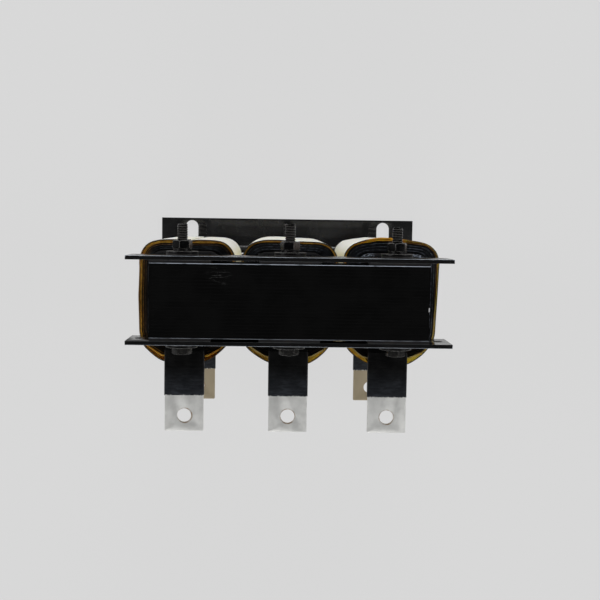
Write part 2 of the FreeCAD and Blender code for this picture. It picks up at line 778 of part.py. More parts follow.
def lead(name, x, leg_back, bar_level, upward):
    """A lead whose leg lies behind a plane and whose bar starts at a level."""
    outward = 1 if upward else -1
    leg_front = f"({leg_back} + lead_thickness)"
    far_face = f"({bar_level} + {outward} * lead_thickness)"
    if upward:
        leg_end = "yoke_height + foil_end_gap + lead_foot_gap"
    else:
        leg_end = f"{CORE_HEIGHT} - yoke_height - foil_end_gap - lead_foot_gap"
    body = new_body(name)
    profile = new_sketch(body, f"{name}_profile", "YZ_Plane")
    draw_polygon(profile, [
        (f"-{leg_back}", leg_end), (f"-{leg_back}", far_face), ("-lead_reach", far_face),
        ("-lead_reach", bar_level), (f"-{leg_front}", bar_level), (f"-{leg_front}", leg_end),
    ], "edge")
    bar = pad(body, profile, f"{name}_bar", "lead_width")
    for part_name, y_text, z_text, radius in (
            ("throat", leg_front, bar_level, "lead_bend_radius"),
            ("heel", leg_back, far_face, "lead_bend_radius + lead_thickness")):
        y, z = -number(y_text), number(z_text)
        edges = straight_edges(
            bar, X_AXIS, lambda c: abs(c.y - y) < 0.001 and abs(c.z - z) < 0.001)
        bar = round_edges(body, bar, f"{name}_{part_name}", edges, radius)
    tip = -number("lead_reach")
    corners = straight_edges(bar, Z_AXIS, lambda c: abs(c.y - tip) < 0.001)
    bevel_edges(body, bar, f"{name}_corners", corners, "terminal_corner_bevel")
    hole = new_sketch(body, f"{name}_hole", "XY_Plane")
    draw_circle(hole, "0", "-lead_reach + terminal_hole_edge",
                "terminal_hole_diameter / 2", "terminal")
    punch(body, hole, f"{name}_drilling", f"3 * {CORE_HEIGHT}")
    place(body, x)
    return keep(body, name)


def sleeve(name, x, leg_front, bar_low):
    """A shrink sleeve round the bar, from its bend to the bare end."""
    back_end = f"({leg_front} + lead_bend_radius + sleeve_bend_gap)"
    front_end = "(lead_reach - bare_length)"
    body = new_body(name)
    section = new_sketch(body, f"{name}_section", "XZ_Plane")
    half = "(lead_width / 2 + sleeve_thickness)"
    draw_rectangle(section, (f"-{half}", "-sleeve_thickness"),
                   (half, "lead_thickness + sleeve_thickness"), "outer")
    tube = pad(body, section, f"{name}_tube", f"{front_end} - {back_end}")
    edges = straight_edges(tube, Y_AXIS, lambda c: True)
    bevel_edges(body, tube, f"{name}_corners", edges, "sleeve_corner_bevel")
    passage = new_sketch(body, f"{name}_passage", "XZ_Plane")
    draw_rectangle(passage, ("-lead_width / 2", "0"), ("lead_width / 2", "lead_thickness"), "inner")
    punch(body, passage, f"{name}_opening", "2 * lead_reach")
    place(body, x, f"-({front_end} + {back_end}) / 2", bar_low)
    return keep(body, name)


for coil, x in COILS.items():
    lead_x = number(f"lead_offset_{coil}")
    bar_x = f"{x} + lead_offset_{coil}"
    former(f"{coil}_former", x)
    wedges(f"{coil}_packing_wedges", x)
    foil_winding(f"{coil}_foil_winding", x, lead_x)
    interleaf(f"{coil}_interleaf", x, lead_x)
    outer_wrap(f"{coil}_outer_wrap", x, lead_x, number(f"wrap_back_bulge_{coil}"))
    lead(f"{coil}_start_lead", bar_x, START_LEG, START_BAR_LEVEL, True)
    lead(f"{coil}_finish_lead", bar_x, FINISH_LEG, FINISH_BAR_LEVEL, False)
    sleeve(f"{coil}_start_sleeve", bar_x, START_LEG_FRONT, START_BAR_LEVEL)
    sleeve(f"{coil}_finish_sleeve", bar_x, FINISH_LEG_FRONT,
           f"{FINISH_BAR_LEVEL} - lead_thickness")

doc.recompute()

for item in doc.Objects:
    if {"Invalid", "Error"} & set(item.State):
        raise RuntimeError(f"{item.Label} failed to build")
for piece in subparts:
    if piece.Shape.isNull() or not piece.Shape.isValid():
        raise RuntimeError(f"{piece.Label} has no valid shape")

os.makedirs("parts", exist_ok=True)
for piece in subparts:
    piece.Shape.exportStep(f"parts/{piece.Label}.step")
print(len(subparts), "sub-parts written")
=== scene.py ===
# %% [markdown]
# # A motor reactor, seen from above
# A reactor like this one sits between a drive and a three-phase motor and smooths the current.
# It is a tall core of thin steel sheets with three limbs, and each limb carries a coil wound from
# copper strip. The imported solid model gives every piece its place, so this lesson only has to
# give each piece its real edges and its real surface.

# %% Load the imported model
import math
import random

import bmesh
import bpy
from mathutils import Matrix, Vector, noise


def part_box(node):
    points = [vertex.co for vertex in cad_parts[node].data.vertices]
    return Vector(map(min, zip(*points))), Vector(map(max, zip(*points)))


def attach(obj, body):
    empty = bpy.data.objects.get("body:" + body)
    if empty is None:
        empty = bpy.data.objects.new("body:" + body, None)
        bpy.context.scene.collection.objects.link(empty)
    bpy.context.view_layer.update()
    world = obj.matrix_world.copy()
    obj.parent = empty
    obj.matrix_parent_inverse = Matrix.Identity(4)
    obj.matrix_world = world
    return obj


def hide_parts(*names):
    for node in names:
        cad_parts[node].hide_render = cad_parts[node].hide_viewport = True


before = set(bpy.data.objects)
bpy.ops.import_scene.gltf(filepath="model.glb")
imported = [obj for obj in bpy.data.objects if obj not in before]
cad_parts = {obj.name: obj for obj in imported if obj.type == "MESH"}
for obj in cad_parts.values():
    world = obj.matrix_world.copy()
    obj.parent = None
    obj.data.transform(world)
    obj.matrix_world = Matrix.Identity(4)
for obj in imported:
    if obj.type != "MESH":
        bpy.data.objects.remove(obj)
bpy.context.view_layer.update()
MM = 0.001

# %% [markdown]
# ## Camera
# The photograph was taken from about one metre above the floor, nearly straight down, and a little
# to the left of the middle. A plain camera is put there and turned by the three small angles that
# make the corners of the yoke fall where they do in the picture.

# %% Place the camera
bpy.ops.object.camera_add(location=(-0.009616, 0.05744, 1.015302),
                          rotation=(-0.0728, -0.02119, 0.01456))
camera = bpy.context.object
camera.data.sensor_width = 36
camera.data.lens = 63.195
camera.data.clip_start = 0.05
bpy.context.scene.camera = camera
bpy.context.scene.view_settings.view_transform = "Standard"
print("camera height", round(camera.location.z, 3))

# %% [markdown]
# ## Node helpers
# Every finish below is one shader fed by a few noise and ramp nodes. A small helper adds a node,
# sets what is constant and links what is not, so a finish reads as a short list of layers. As an
# operator works on the active object, the helpers work on the node tree that was begun last. The
# patterns all start from Object coordinates, in metres, so a scale of 1000 is one per millimetre.


# %% Helpers for finishes
MIDDLE = 125.0  # half the object's height in millimetres
BOLTS_UP = 105.0  # the bolts lie this far above and below it
COIL_PITCH = 80.0  # from one coil's middle to the next
active = {}  # the node tree that was begun last


def grey(level):
    """A display grey from 0 to 255 as a linear colour."""
    share = level / 255
    linear = share / 12.92 if share <= 0.04045 else ((share + 0.055) / 1.055) ** 2.4
    return (linear, linear, linear, 1)


def tone(red, green, blue):
    """A display colour from 0 to 255 as a linear colour."""
    return (grey(red)[0], grey(green)[0], grey(blue)[0], 1)


def begin(owner):
    """Makes a material's or the world's node tree the one that the helpers work on."""
    owner.use_nodes = True
    active["tree"] = owner.node_tree
    return owner


def layer(kind, inputs=None, **settings):
    """Adds a node to the finish; an input is either a value or another node's output."""
    node = active["tree"].nodes.new(kind)
    for key, value in settings.items():
        setattr(node, key, value)
    for key, value in (inputs or {}).items():
        if isinstance(value, bpy.types.NodeSocket):
            active["tree"].links.new(value, node.inputs[key])
        else:
            node.inputs[key].default_value = value
    return node


def new_finish(name, **constants):
    """A material with one Principled shader, and constants on the shader's own sockets."""
    finish = begin(bpy.data.materials.new(name))
    shader = finish.node_tree.nodes["Principled BSDF"]
    for key, value in constants.items():
        shader.inputs[key.replace("_", " ")].default_value = value
    return finish


def feed(**sources):
    """Links nodes' outputs to sockets of the finish's shader."""
    shader = active["tree"].nodes["Principled BSDF"]
    for key, source in sources.items():
        active["tree"].links.new(source, shader.inputs[key.replace("_", " ")])


def grain(scale, detail=4.0, stretch=(1, 1, 1), turn=(0, 0, 0), rough=0.55):
    """Noise at a number of spots per millimetre, stretched along the axes."""
    spot = layer("ShaderNodeTexCoord").outputs["Object"]
    placed = layer("ShaderNodeMapping",
                   {"Vector": spot, "Scale": stretch, "Rotation": turn}).outputs["Vector"]
    return layer("ShaderNodeTexNoise",
                 {"Vector": placed, "Scale": scale / MM, "Detail": detail,
                  "Roughness": rough}).outputs["Fac"]


def ramp(value, low, high, start=0.0, end=1.0):
    """Maps a value between two levels to another pair, smoothly."""
    return layer("ShaderNodeMapRange",
                 {"Value": value, "From Min": low, "From Max": high, "To Min": start,
                  "To Max": end}, interpolation_type="SMOOTHSTEP").outputs["Result"]


def mixed(share, first, second):
    """One colour where the share is 0 and the other where it is 1."""
    return layer("ShaderNodeMix", {6: first, 7: second, 0: share}, data_type="RGBA").outputs[2]


def maths(operation, first, second=0.0):
    return layer("ShaderNodeMath", {0: first, 1: second}, operation=operation).outputs[0]


def mottled(pattern, low, high, first, second):
    """Two colours, shared out by where a pattern lies between two levels."""
    return mixed(ramp(pattern, low, high), first, second)


def times(first, second):
    return maths("MULTIPLY", first, second)


def apart(value, middle):
    """How far a value lies from a middle, either way."""
    return maths("ABSOLUTE", maths("SUBTRACT", value, middle))


def distance(first, second):
    """The length of a diagonal with two sides."""
    return maths("SQRT", maths("ADD", maths("POWER", first, 2.0), maths("POWER", second, 2.0)))


def relief(height, depth, strength=1.0):
    """A bump whose full swing is a depth in millimetres."""
    return layer("ShaderNodeBump", {"Height": height, "Distance": depth * MM,
                                    "Strength": strength}).outputs["Normal"]


def axis(which):
    """Place along X, Y or Z in millimetres."""
    spot = layer("ShaderNodeTexCoord").outputs["Object"]
    parts = layer("ShaderNodeSeparateXYZ", {"Vector": spot})
    return maths("DIVIDE", parts.outputs[which], MM)


def along(which, low, high, start=0.0, end=1.0):
    """Maps the place along an axis between two levels to another pair, smoothly."""
    return ramp(axis(which), low, high, start, end)


def near_spot(centre, radius):
    """1 at a place on the surface, falling to 0 at a radius, both in millimetres."""
    spot = layer("ShaderNodeTexCoord").outputs["Object"]
    middle = tuple(value * MM for value in centre)
    gap = layer("ShaderNodeVectorMath", {0: spot, 1: middle}, operation="DISTANCE").outputs["Value"]
    return ramp(gap, 0.0, radius * MM, 1.0, 0.0)


def across_coil():
    """Place across one coil in millimetres, from its own middle: the three stand a pitch apart."""
    return layer("ShaderNodeMath", {0: axis("X"), 1: COIL_PITCH / 2, 2: -COIL_PITCH / 2},
                 operation="WRAP").outputs[0]


def from_bolt():
    """Millimetres from the middle line of the nearest bolt, which all lie along Y."""
    level = maths("SUBTRACT", apart(axis("Z"), MIDDLE), BOLTS_UP)
    return distance(across_coil(), level)


print("helpers ready")

# %% [markdown]
# ## Floor, sky and lamps
# The object stands on a pale sheet that shows no texture at all, only a trace of shadow. A camera
# ray sees mostly the plain colour of the sheet, and a small share of real shading keeps the shadow.
# Round the table stand pale screens, and the ceiling above the camera is dark: that is why, in the
# photograph, everything black that faces up is truly black, while every rounded edge shows a thin
# pale line. The sky is therefore pale at eye level and dark overhead. Only the camera itself sees
# it pale all over. Four broad lamps stand round the object and light it evenly.

# %% Build the stage
PALE = grey(217)
bpy.ops.mesh.primitive_plane_add(size=8, location=(0, 0, 0))
floor = bpy.context.object
floor.name = "floor"
sheet_finish = new_finish("pale_sheet", Base_Color=grey(205), Roughness=0.9)
sheet_shader = sheet_finish.node_tree.nodes["Principled BSDF"]
sheet_out = sheet_finish.node_tree.nodes["Material Output"]
rays = layer("ShaderNodeLightPath")
seen = maths("MAXIMUM", rays.outputs["Is Camera Ray"], rays.outputs["Is Glossy Ray"])
seen = maths("MAXIMUM", seen, rays.outputs["Is Transmission Ray"])
plain = layer("ShaderNodeEmission", {"Color": PALE, "Strength": 1.0})
share = times(seen, 0.9)
shown = layer("ShaderNodeMixShader",
              {0: share, 1: sheet_shader.outputs["BSDF"], 2: plain.outputs["Emission"]})
sheet_finish.node_tree.links.new(shown.outputs["Shader"], sheet_out.inputs["Surface"])
floor.data.materials.append(sheet_finish)

world = bpy.data.worlds.new("studio")
bpy.context.scene.world = world
begin(world).node_tree.nodes.clear()
look = layer("ShaderNodeTexCoord").outputs["Generated"]
height = layer("ShaderNodeSeparateXYZ", {"Vector": look}).outputs["Z"]
screens = mottled(height, 0.12, 0.8, PALE, (0.06, 0.062, 0.066, 1))
sky_rays = layer("ShaderNodeLightPath")
seen = maths("MAXIMUM", sky_rays.outputs["Is Camera Ray"], sky_rays.outputs["Is Transmission Ray"])
sky = layer("ShaderNodeBackground", {"Color": mixed(seen, screens, PALE), "Strength": 1.0})
sky_out = layer("ShaderNodeOutputWorld")
world.node_tree.links.new(sky.outputs["Background"], sky_out.inputs["Surface"])

# Watts by the bearing of each lamp, in degrees from the right.
LAMP_POWER = {85: 13, 175: 12, 265: 12, 355: 12}
LAMP_REACH, LAMP_HEIGHT, LAMP_AIM = 1.5, 1.15, Vector((0, 0, 0.15))
for bearing, power in LAMP_POWER.items():
    angle = math.radians(bearing)
    bpy.ops.object.light_add(type="AREA", location=(
        LAMP_REACH * math.cos(angle), LAMP_REACH * math.sin(angle), LAMP_HEIGHT))
    lamp = bpy.context.object
    lamp.name = f"lamp_{bearing}"
    lamp.data.shape = "DISK"
    lamp.data.size = 0.9
    lamp.data.energy = power
    lamp.rotation_euler = (LAMP_AIM - lamp.location).to_track_quat("-Z", "Y").to_euler()
print("floor, sky and", len(LAMP_POWER), "lamps")

# %% [markdown]
# ## Modelling helpers
# An operator works on whatever is selected, so each step first empties the selection and then picks
# faces or edges by where they are. A finished piece keeps its object at the origin, with its place
# in its mesh, as the solid nodes do.


# %% Helpers for pieces
def alone(piece):
    """Selects one object and nothing else."""
    bpy.ops.object.select_all(action="DESELECT")
    bpy.context.view_layer.objects.active = piece
    piece.select_set(True)
    return piece


def newest(name):
    """Names what was just added and puts its place into its mesh."""
    piece = bpy.context.object
    piece.name = name
    piece.data.name = name
    alone(piece)
    bpy.ops.object.transform_apply(location=True, rotation=True, scale=True)
    return piece


def add_block(name, low, high):
    """A cube at its size and place, from two corners."""
    bpy.ops.object.select_all(action="DESELECT")
    middle = (Vector(low) + Vector(high)) / 2
    bpy.ops.mesh.primitive_cube_add(size=1, location=middle, scale=Vector(high) - Vector(low))
    return newest(name)


def pick(piece, kind, test):
    """In edit mode, selects the vertices, edges or faces that pass a test."""
    bpy.ops.mesh.select_mode(type={"verts": "VERT", "edges": "EDGE", "faces": "FACE"}[kind])
    bpy.ops.mesh.select_all(action="DESELECT")
    mesh = bmesh.from_edit_mesh(piece.data)
    count = 0
    for item in getattr(mesh, kind):
        if test(item):
            item.select_set(True)
            count += 1
    bmesh.update_edit_mesh(piece.data)
    return count


def edit(piece, everything=False):
    """Opens a piece for editing, with all of its mesh selected if asked."""
    alone(piece)
    bpy.ops.object.mode_set(mode="EDIT")
    if everything:
        bpy.ops.mesh.select_all(action="SELECT")


def done():
    bpy.ops.object.mode_set(mode="OBJECT")


def use(piece, kind, **settings):
    """Adds a modifier and applies it."""
    alone(piece)
    modifier = piece.modifiers.new(kind.lower(), kind)
    for key, value in settings.items():
        setattr(modifier, key, value)
    bpy.ops.object.modifier_apply(modifier=modifier.name)
    return piece


def ease(piece, width, rows=2, angle=30, finishes=None):
    """Rounds every sharp edge; the roundings get the second of two finishes, if given."""
    settings = {}
    if finishes:
        piece.data.materials.clear()
        for finish in finishes:
            piece.data.materials.append(finish)
        settings["material"] = 1
    use(piece, "BEVEL", width=width * MM, segments=rows, limit_method="ANGLE",
        angle_limit=math.radians(angle), use_clamp_overlap=True, **settings)
    return smooth(piece)


def smooth(piece, angle=35):
    alone(piece)
    bpy.ops.object.shade_smooth_by_angle(angle=math.radians(angle))
    return piece


def join(pieces, name):
    """Makes several meshes one piece."""
    bpy.ops.object.select_all(action="DESELECT")
    for piece in pieces:
        piece.select_set(True)
    bpy.context.view_layer.objects.active = pieces[0]
    bpy.ops.object.join()
    return newest(name)


def copy_of(piece, name, shift=(0, 0, 0)):
    """A copy with its own mesh, moved by a shift in metres."""
    alone(piece)
    bpy.ops.object.duplicate()
    bpy.ops.transform.translate(value=shift)
    return newest(name)


def dress(piece, finish):
    """Gives a piece one finish in place of what it had."""
    piece.data.materials.clear()
    piece.data.materials.append(finish)
    return piece


def hand_in(piece, slot, finish, *nodes):
    """Gives a piece its finish, and lets it ride on the body and stand for solid nodes."""
    if finish is not None:
        dress(piece, finish)
    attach(piece, "root")
    if nodes:
        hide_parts(*nodes)
    return piece


def merged_copy(node, name):
    """The mesh of a solid node with its loose triangles merged and its flat faces joined."""
    alone(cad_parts[node])
    bpy.ops.object.duplicate()
    piece = newest(name)
    for key in list(piece.keys()):
        del piece[key]
    piece.parent = None
    edit(piece, everything=True)
    bpy.ops.mesh.remove_doubles(threshold=0.004 * MM)
    bpy.ops.mesh.dissolve_limited(angle_limit=math.radians(1))
    done()
    return piece


COILS = {"left": -COIL_PITCH, "middle": 0.0, "right": COIL_PITCH}
print("modelling helpers ready")

# %% [markdown]
# ## Core: stacks of lacquered sheet
# The yokes are stacks of thin steel sheets that stand upright, so from above only their edges show,
# as fine lines along the core. The sheets come off the shears in small batches that never line up
# perfectly. One batch is modelled with eased edges and copied along the stack, and each copy is
# shifted by a few hundredths of a millimetre. The single sheets are too thin to model and come
# from the finish.

# %% Finish of the lacquered sheet stack
YOKE_LOW, YOKE_HIGH = (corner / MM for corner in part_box("top_yoke"))
lacquer = new_finish("lamination_lacquer", Specular_IOR_Level=0.04)
sheet_lines = grain(1.9, detail=2, stretch=(0.004, 1, 0.004))
broad_tone = grain(0.05, detail=3)
dust = ramp(grain(1.1, detail=5, rough=0.75), 0.7, 0.82)
scuffs = times(ramp(grain(0.35, detail=6, stretch=(0.5, 2.0, 1), turn=(0, 0, -0.9), rough=0.72),
                    0.54, 0.64), near_spot((-52, 19.5, 250), 11))
base = mottled(broad_tone, 0.35, 0.7, grey(3), grey(5))
base = mixed(ramp(sheet_lines, 0.45, 0.75, 0.0, 0.3), base, grey(11))
base = mixed(times(dust, 0.3), base, grey(46))
base = mixed(times(scuffs, 0.8), base, grey(70))
base = mixed(near_spot((-100.5, 28, 250), 1.0), base, tone(120, 84, 50))

# The long edges get a painted highlight: pale broken lines, strongest along the back.
near_long_edge = ramp(maths("ABSOLUTE", axis("Y")), YOKE_HIGH.y - 0.42, YOKE_HIGH.y - 0.22)
near_end_face = ramp(apart(axis("Z"), MIDDLE), MIDDLE - 0.8, MIDDLE - 0.3)
broken = ramp(grain(0.3, detail=5, stretch=(0.3, 1, 1), rough=0.6), 0.36, 0.52, 0.4, 1.0)
painted_edge_highlight = times(times(near_long_edge, near_end_face), broken)
at_back = along("Y", -10, 10)
base = mixed(painted_edge_highlight, base, mixed(at_back, tone(112, 117, 124), tone(176, 184, 196)))

# A chip has come off the corner at the right end.
chip = times(along("X", YOKE_HIGH.x - 0.9, YOKE_HIGH.x - 0.6),
             ramp(maths("ABSOLUTE", maths("ADD", axis("Y"), 4.4)), 1.2, 1.7, 1.0, 0.0))
chip = times(chip, near_end_face)
base = mixed(chip, base, grey(168))
feed(Base_Color=base, Roughness=ramp(broad_tone, 0.3, 0.7, 0.5, 0.68),
     Normal=relief(sheet_lines, 0.03, 0.6))
print("yoke edges at", round(YOKE_LOW.y, 1), "and", round(YOKE_HIGH.y, 1))


# %% Model a yoke from batches of sheets
def yoke(name):
    low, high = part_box(name)
    count = 22
    step = (high.y - low.y) / count
    chance = random.Random(name)
    first = add_block(f"{name}_batch", low, (high.x, low.y + step, high.z))
    edit(first)
    pick(first, "edges", lambda e: abs(e.verts[0].co.y - e.verts[1].co.y) < 1e-6)
    bpy.ops.mesh.bevel(offset=0.1 * MM, segments=2, affect="EDGES")
    done()
    batches = [first]
    for i in range(1, count):
        batches.append(copy_of(first, f"{name}_batch_{i}", (0, step * i, 0)))
    for batch in batches:
        sink = chance.uniform(0.0, 0.05) * MM if batch not in (batches[0], batches[-1]) else 0
        slide = chance.uniform(-0.12, 0.12) * MM
        lift = -sink if low.z > 0.1 else sink
        for vertex in batch.data.vertices:
            if (vertex.co.z > (low.z + high.z) / 2) == (low.z > 0.1):
                vertex.co.z += lift
            vertex.co.x += slide if abs(vertex.co.x) < high.x - 0.2 * MM else -math.copysign(
                abs(slide), vertex.co.x)
    stack = smooth(join(batches, f"{name}_stack"))
    hand_in(stack, "lamination_lacquer", lacquer, name)
    print(name, "from", count, "batches,", len(stack.data.polygons), "faces")


yoke("top_yoke")
yoke("bottom_yoke")
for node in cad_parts:
    if "_limb_" in node:
        dress(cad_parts[node], lacquer)

# %% [markdown]
# ## Insulating strips and gap plates
# Board strips keep the limbs off the clamps, and thin plates make the gaps in the limbs. Both were
# dipped in black varnish with the rest. Along the clamps their sawn edge gets a painted highlight,
# a faintly paler, fuzzy line. The strips are the solid shape with eased edges. The faces of the
# easing on the clamp side get a second finish, which carries the painted highlight.

# %% Finishes of the varnished board and of its edge with a painted highlight
board = new_finish("insulating_board", Roughness=0.6, Specular_IOR_Level=0.15)
fibre = grain(1.2, detail=6, stretch=(1, 1, 0.25), rough=0.7)
blotch = grain(0.12, detail=3)
shade = mottled(fibre, 0.35, 0.7, tone(9, 9, 10), tone(22, 22, 24))
shade = mixed(ramp(blotch, 0.45, 0.7, 0, 0.6), shade, tone(26, 22, 18))
feed(Base_Color=shade, Normal=relief(fibre, 0.12, 0.6))

# The easing on the clamp side gets a painted highlight: a fuzzy line, faintly paler than the board.
edge_highlight_board = new_finish("board_edge_painted_highlight", Roughness=0.55, Specular_IOR_Level=0.4)
fuzz = grain(0.9, detail=7, stretch=(0.5, 1, 1), rough=0.75)
shade = mottled(fuzz, 0.42, 0.58, tone(8, 8, 9), tone(24, 25, 27))
feed(Base_Color=shade, Normal=relief(fuzz, 0.15, 0.7))

# %% Ease the strips and dress the gap plates
for coil in COILS:
    for side, sign in (("front", -1), ("back", 1)):
        strip = ease(merged_copy(f"{coil}_{side}_strip", f"{coil}_{side}_board"), 0.3)
        hand_in(strip, "insulating_board", board, f"{coil}_{side}_strip")
        strip.data.materials.append(edge_highlight_board)
        for face in strip.data.polygons:
            tilted = 0.15 < abs(face.normal.z) < 0.98
            if tilted and face.normal.y * sign > 0.1:
                face.material_index = 1
dress(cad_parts["gap_plates"], board)
print("6 strips eased")

# %% [markdown]
# ## Clamp bars and foot angles
# These are cut and folded from 3 mm sheet and painted satin black. Paint pulls back from sharp
# edges, so every edge is rounded. The paint itself has a faint orange peel and a few dust specks,
# and along the upper edges it gets a painted highlight, pale and broken. The solid model already
# has the holes, slots and the fold, so its mesh is merged and only the edges are worked.

# %% Finish of the satin black paint
paint = new_finish("clamp_paint", Specular_IOR_Level=0.5)
peel = grain(0.75, detail=2)
handling = grain(0.06, detail=5, rough=0.65)
specks = ramp(grain(1.6, detail=3, rough=0.8), 0.72, 0.8)
coat = mottled(handling, 0.35, 0.7, grey(7), grey(12))
# The paint is lighter towards the bottom.
lower_lighter = along("Z", 60, 4)
coat = mixed(lower_lighter, coat, mottled(handling, 0.35, 0.7, grey(22), grey(34)))
coat = mixed(times(specks, 0.3), coat, grey(70))
feed(Base_Color=coat, Roughness=ramp(handling, 0.3, 0.75, 0.17, 0.27),
     Normal=relief(peel, 0.015, 0.5))

# Along the upper outer edges the easing gets a painted highlight, pale grey and broken, more on the
# back bar.
paint_edge_highlight = new_finish("clamp_paint_edge_highlight", Specular_IOR_Level=0.5)
through = ramp(grain(0.25, detail=6, stretch=(0.4, 1, 1)), 0.34, 0.6)
upper = along("Z", 240, 249)
front_face = along("Y", -31, -32, 0.0, 0.45)
place = maths("MAXIMUM", front_face, along("Y", 31, 32))
share = times(times(upper, place), ramp(through, 0, 1, 0.6, 1.0))
feed(Base_Color=mixed(share, grey(9), tone(200, 208, 218)),
     Roughness=ramp(through, 0, 1, 0.25, 0.4), Normal=relief(through, 0.02, 0.5))

# %% Ease the painted sheet pieces
for node in ("clamp_bar_front", "clamp_bar_back", "foot_angle_front", "foot_angle_back"):
    bar = ease(merged_copy(node, f"{node}_sheet"), 0.4, rows=3, finishes=(paint, paint_edge_highlight))
    low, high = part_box(node)
    for vertex in bar.data.vertices:
        vertex.co = [min(max(value, start), end)
                     for value, start, end in zip(vertex.co, low, high)]
    hand_in(bar, "clamp_paint", None, node)
    print(node, len(bar.data.polygons), "faces")

# %% [markdown]
# ## Bolts, nuts and washers
# Six bolts squeeze the core between the clamps. Each passes through an insulating tube and sits on
# an insulating washer and a steel washer on both sides, so that it makes no loop round the core.
# The thread is a zigzag line that the Screw modifier winds round an axis. A hexagon's chamfer is
# what is left when the prism is turned on a lathe, so the prism is intersected with a turned blank.

# %% Finish of the blackened steel and of the washers
oxide = new_finish("black_oxide_steel", Specular_IOR_Level=0.07)
oxide_spots = grain(0.8, detail=5, rough=0.65)
skin = mottled(oxide_spots, 0.4, 0.7, tone(6, 6, 7), tone(13, 13, 13))

# The tops of the threads are painted light, partly bare wear and partly a painted highlight, and their
# grooves black as painted shade.
crest = ramp(from_bolt(), 3.86, 3.98)
on_thread = ramp(from_bolt(), 4.2, 4.5, 1.0, 0.0)
skin = mixed(on_thread, skin, mixed(crest, grey(2), tone(94, 92, 90)))

# The facets that face right get a painted reflection: lighter and warmer, broken by spots.
facing = layer("ShaderNodeNewGeometry").outputs["Normal"]
facing = layer("ShaderNodeSeparateXYZ", {"Vector": facing}).outputs["X"]
right_facet_sheen = times(ramp(facing, 0.5, 0.7), ramp(oxide_spots, 0.3, 0.55, 0.4, 1.0))
off_thread = maths("SUBTRACT", 1.0, on_thread)
skin = mixed(times(right_facet_sheen, off_thread), skin, tone(70, 64, 60))

# The heads at the front were handled more.
head_end = along("Y", -34, -36)
skin = mixed(head_end, skin, mottled(oxide_spots, 0.35, 0.65, tone(24, 24, 25), tone(40, 39, 37)))
feed(Base_Color=skin, Roughness=ramp(oxide_spots, 0.3, 0.7, 0.16, 0.3),
     Normal=relief(grain(3.0, detail=3), 0.01, 0.4))

# The eased edges of heads, nuts and washers get a painted highlight: pale, broken rims.
steel_edge_highlight = new_finish("steel_rim_painted_highlight", Roughness=0.4, Specular_IOR_Level=0.3)
glint_grain = grain(1.0, detail=5, rough=0.7)
skin = mottled(glint_grain, 0.35, 0.62, tone(24, 24, 25), tone(112, 110, 107))

# At the back, of a steel washer's two edges only the one towards the nut gets the painted highlight;
# the one on the seat is painted dark.
WASHER_SEAT = 33.9  # a steel washer's inner face, from the core's middle plane
kept = apart(axis("Y"), WASHER_SEAT)
feed(Base_Color=mottled(kept, 0.5, 0.7, grey(4), skin), Normal=relief(glint_grain, 0.015, 0.4))

washer_finish = new_finish("washer_steel", Specular_IOR_Level=0.08)
wear = grain(1.2, detail=6, rough=0.7)
skin = mottled(wear, 0.4, 0.62, tone(6, 6, 7), tone(18, 17, 17))
at_front = along("Y", -30, -33)
skin = mixed(at_front, skin, mottled(wear, 0.4, 0.62, tone(10, 10, 11), tone(26, 26, 26)))
feed(Base_Color=skin, Roughness=ramp(wear, 0.3, 0.7, 0.2, 0.36), Normal=relief(wear, 0.015, 0.5))

hard_paper = new_finish("dark_insulation", Roughness=0.5, Specular_IOR_Level=0.3)
weave = grain(2.2, detail=3, stretch=(1, 0.2, 1))
skin = mottled(weave, 0.4, 0.65, tone(9, 8, 8), tone(24, 20, 17))
feed(Base_Color=skin, Normal=relief(weave, 0.05, 0.5))
dress(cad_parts["bolt_insulating_tubes"], hard_paper)


# %% Turn a hexagon with its chamfers
ACROSS_FLATS = 13


def hexagon(name, height, chamfers):
    """A hexagon that stands on the floor, chamfered on its top or on both ends."""
    corner = ACROSS_FLATS / math.sqrt(3) * MM
    bpy.ops.object.select_all(action="DESELECT")
    bpy.ops.mesh.primitive_cylinder_add(vertices=6, radius=corner, depth=height * MM,
                                        location=(0, 0, height * MM / 2))
    prism = newest(name)
    cone, tip_share = 0.8, 0.815
    floor_cone = cone if chamfers == 2 else 0
    bpy.ops.object.select_all(action="DESELECT")
    bpy.ops.mesh.primitive_cylinder_add(
        vertices=48, radius=corner * 1.001, depth=(height - cone - floor_cone) * MM,
        location=(0, 0, (height - cone + floor_cone) * MM / 2))
    blank = newest(f"{name}_blank")
    edit(blank)
    for end in (1, -1)[:chamfers]:
        pick(blank, "faces", lambda f: f.normal.z * end > 0.9)
        bpy.ops.mesh.extrude_region_move(
            TRANSFORM_OT_translate={"value": (0, 0, end * cone * MM)})
        bpy.ops.transform.resize(value=(tip_share, tip_share, 1))
    done()
    use(prism, "BOOLEAN", operation="INTERSECT", solver="EXACT", object=blank)
    bpy.data.objects.remove(blank)
    return ease(prism, 0.13, rows=2, angle=20, finishes=(oxide, steel_edge_highlight))


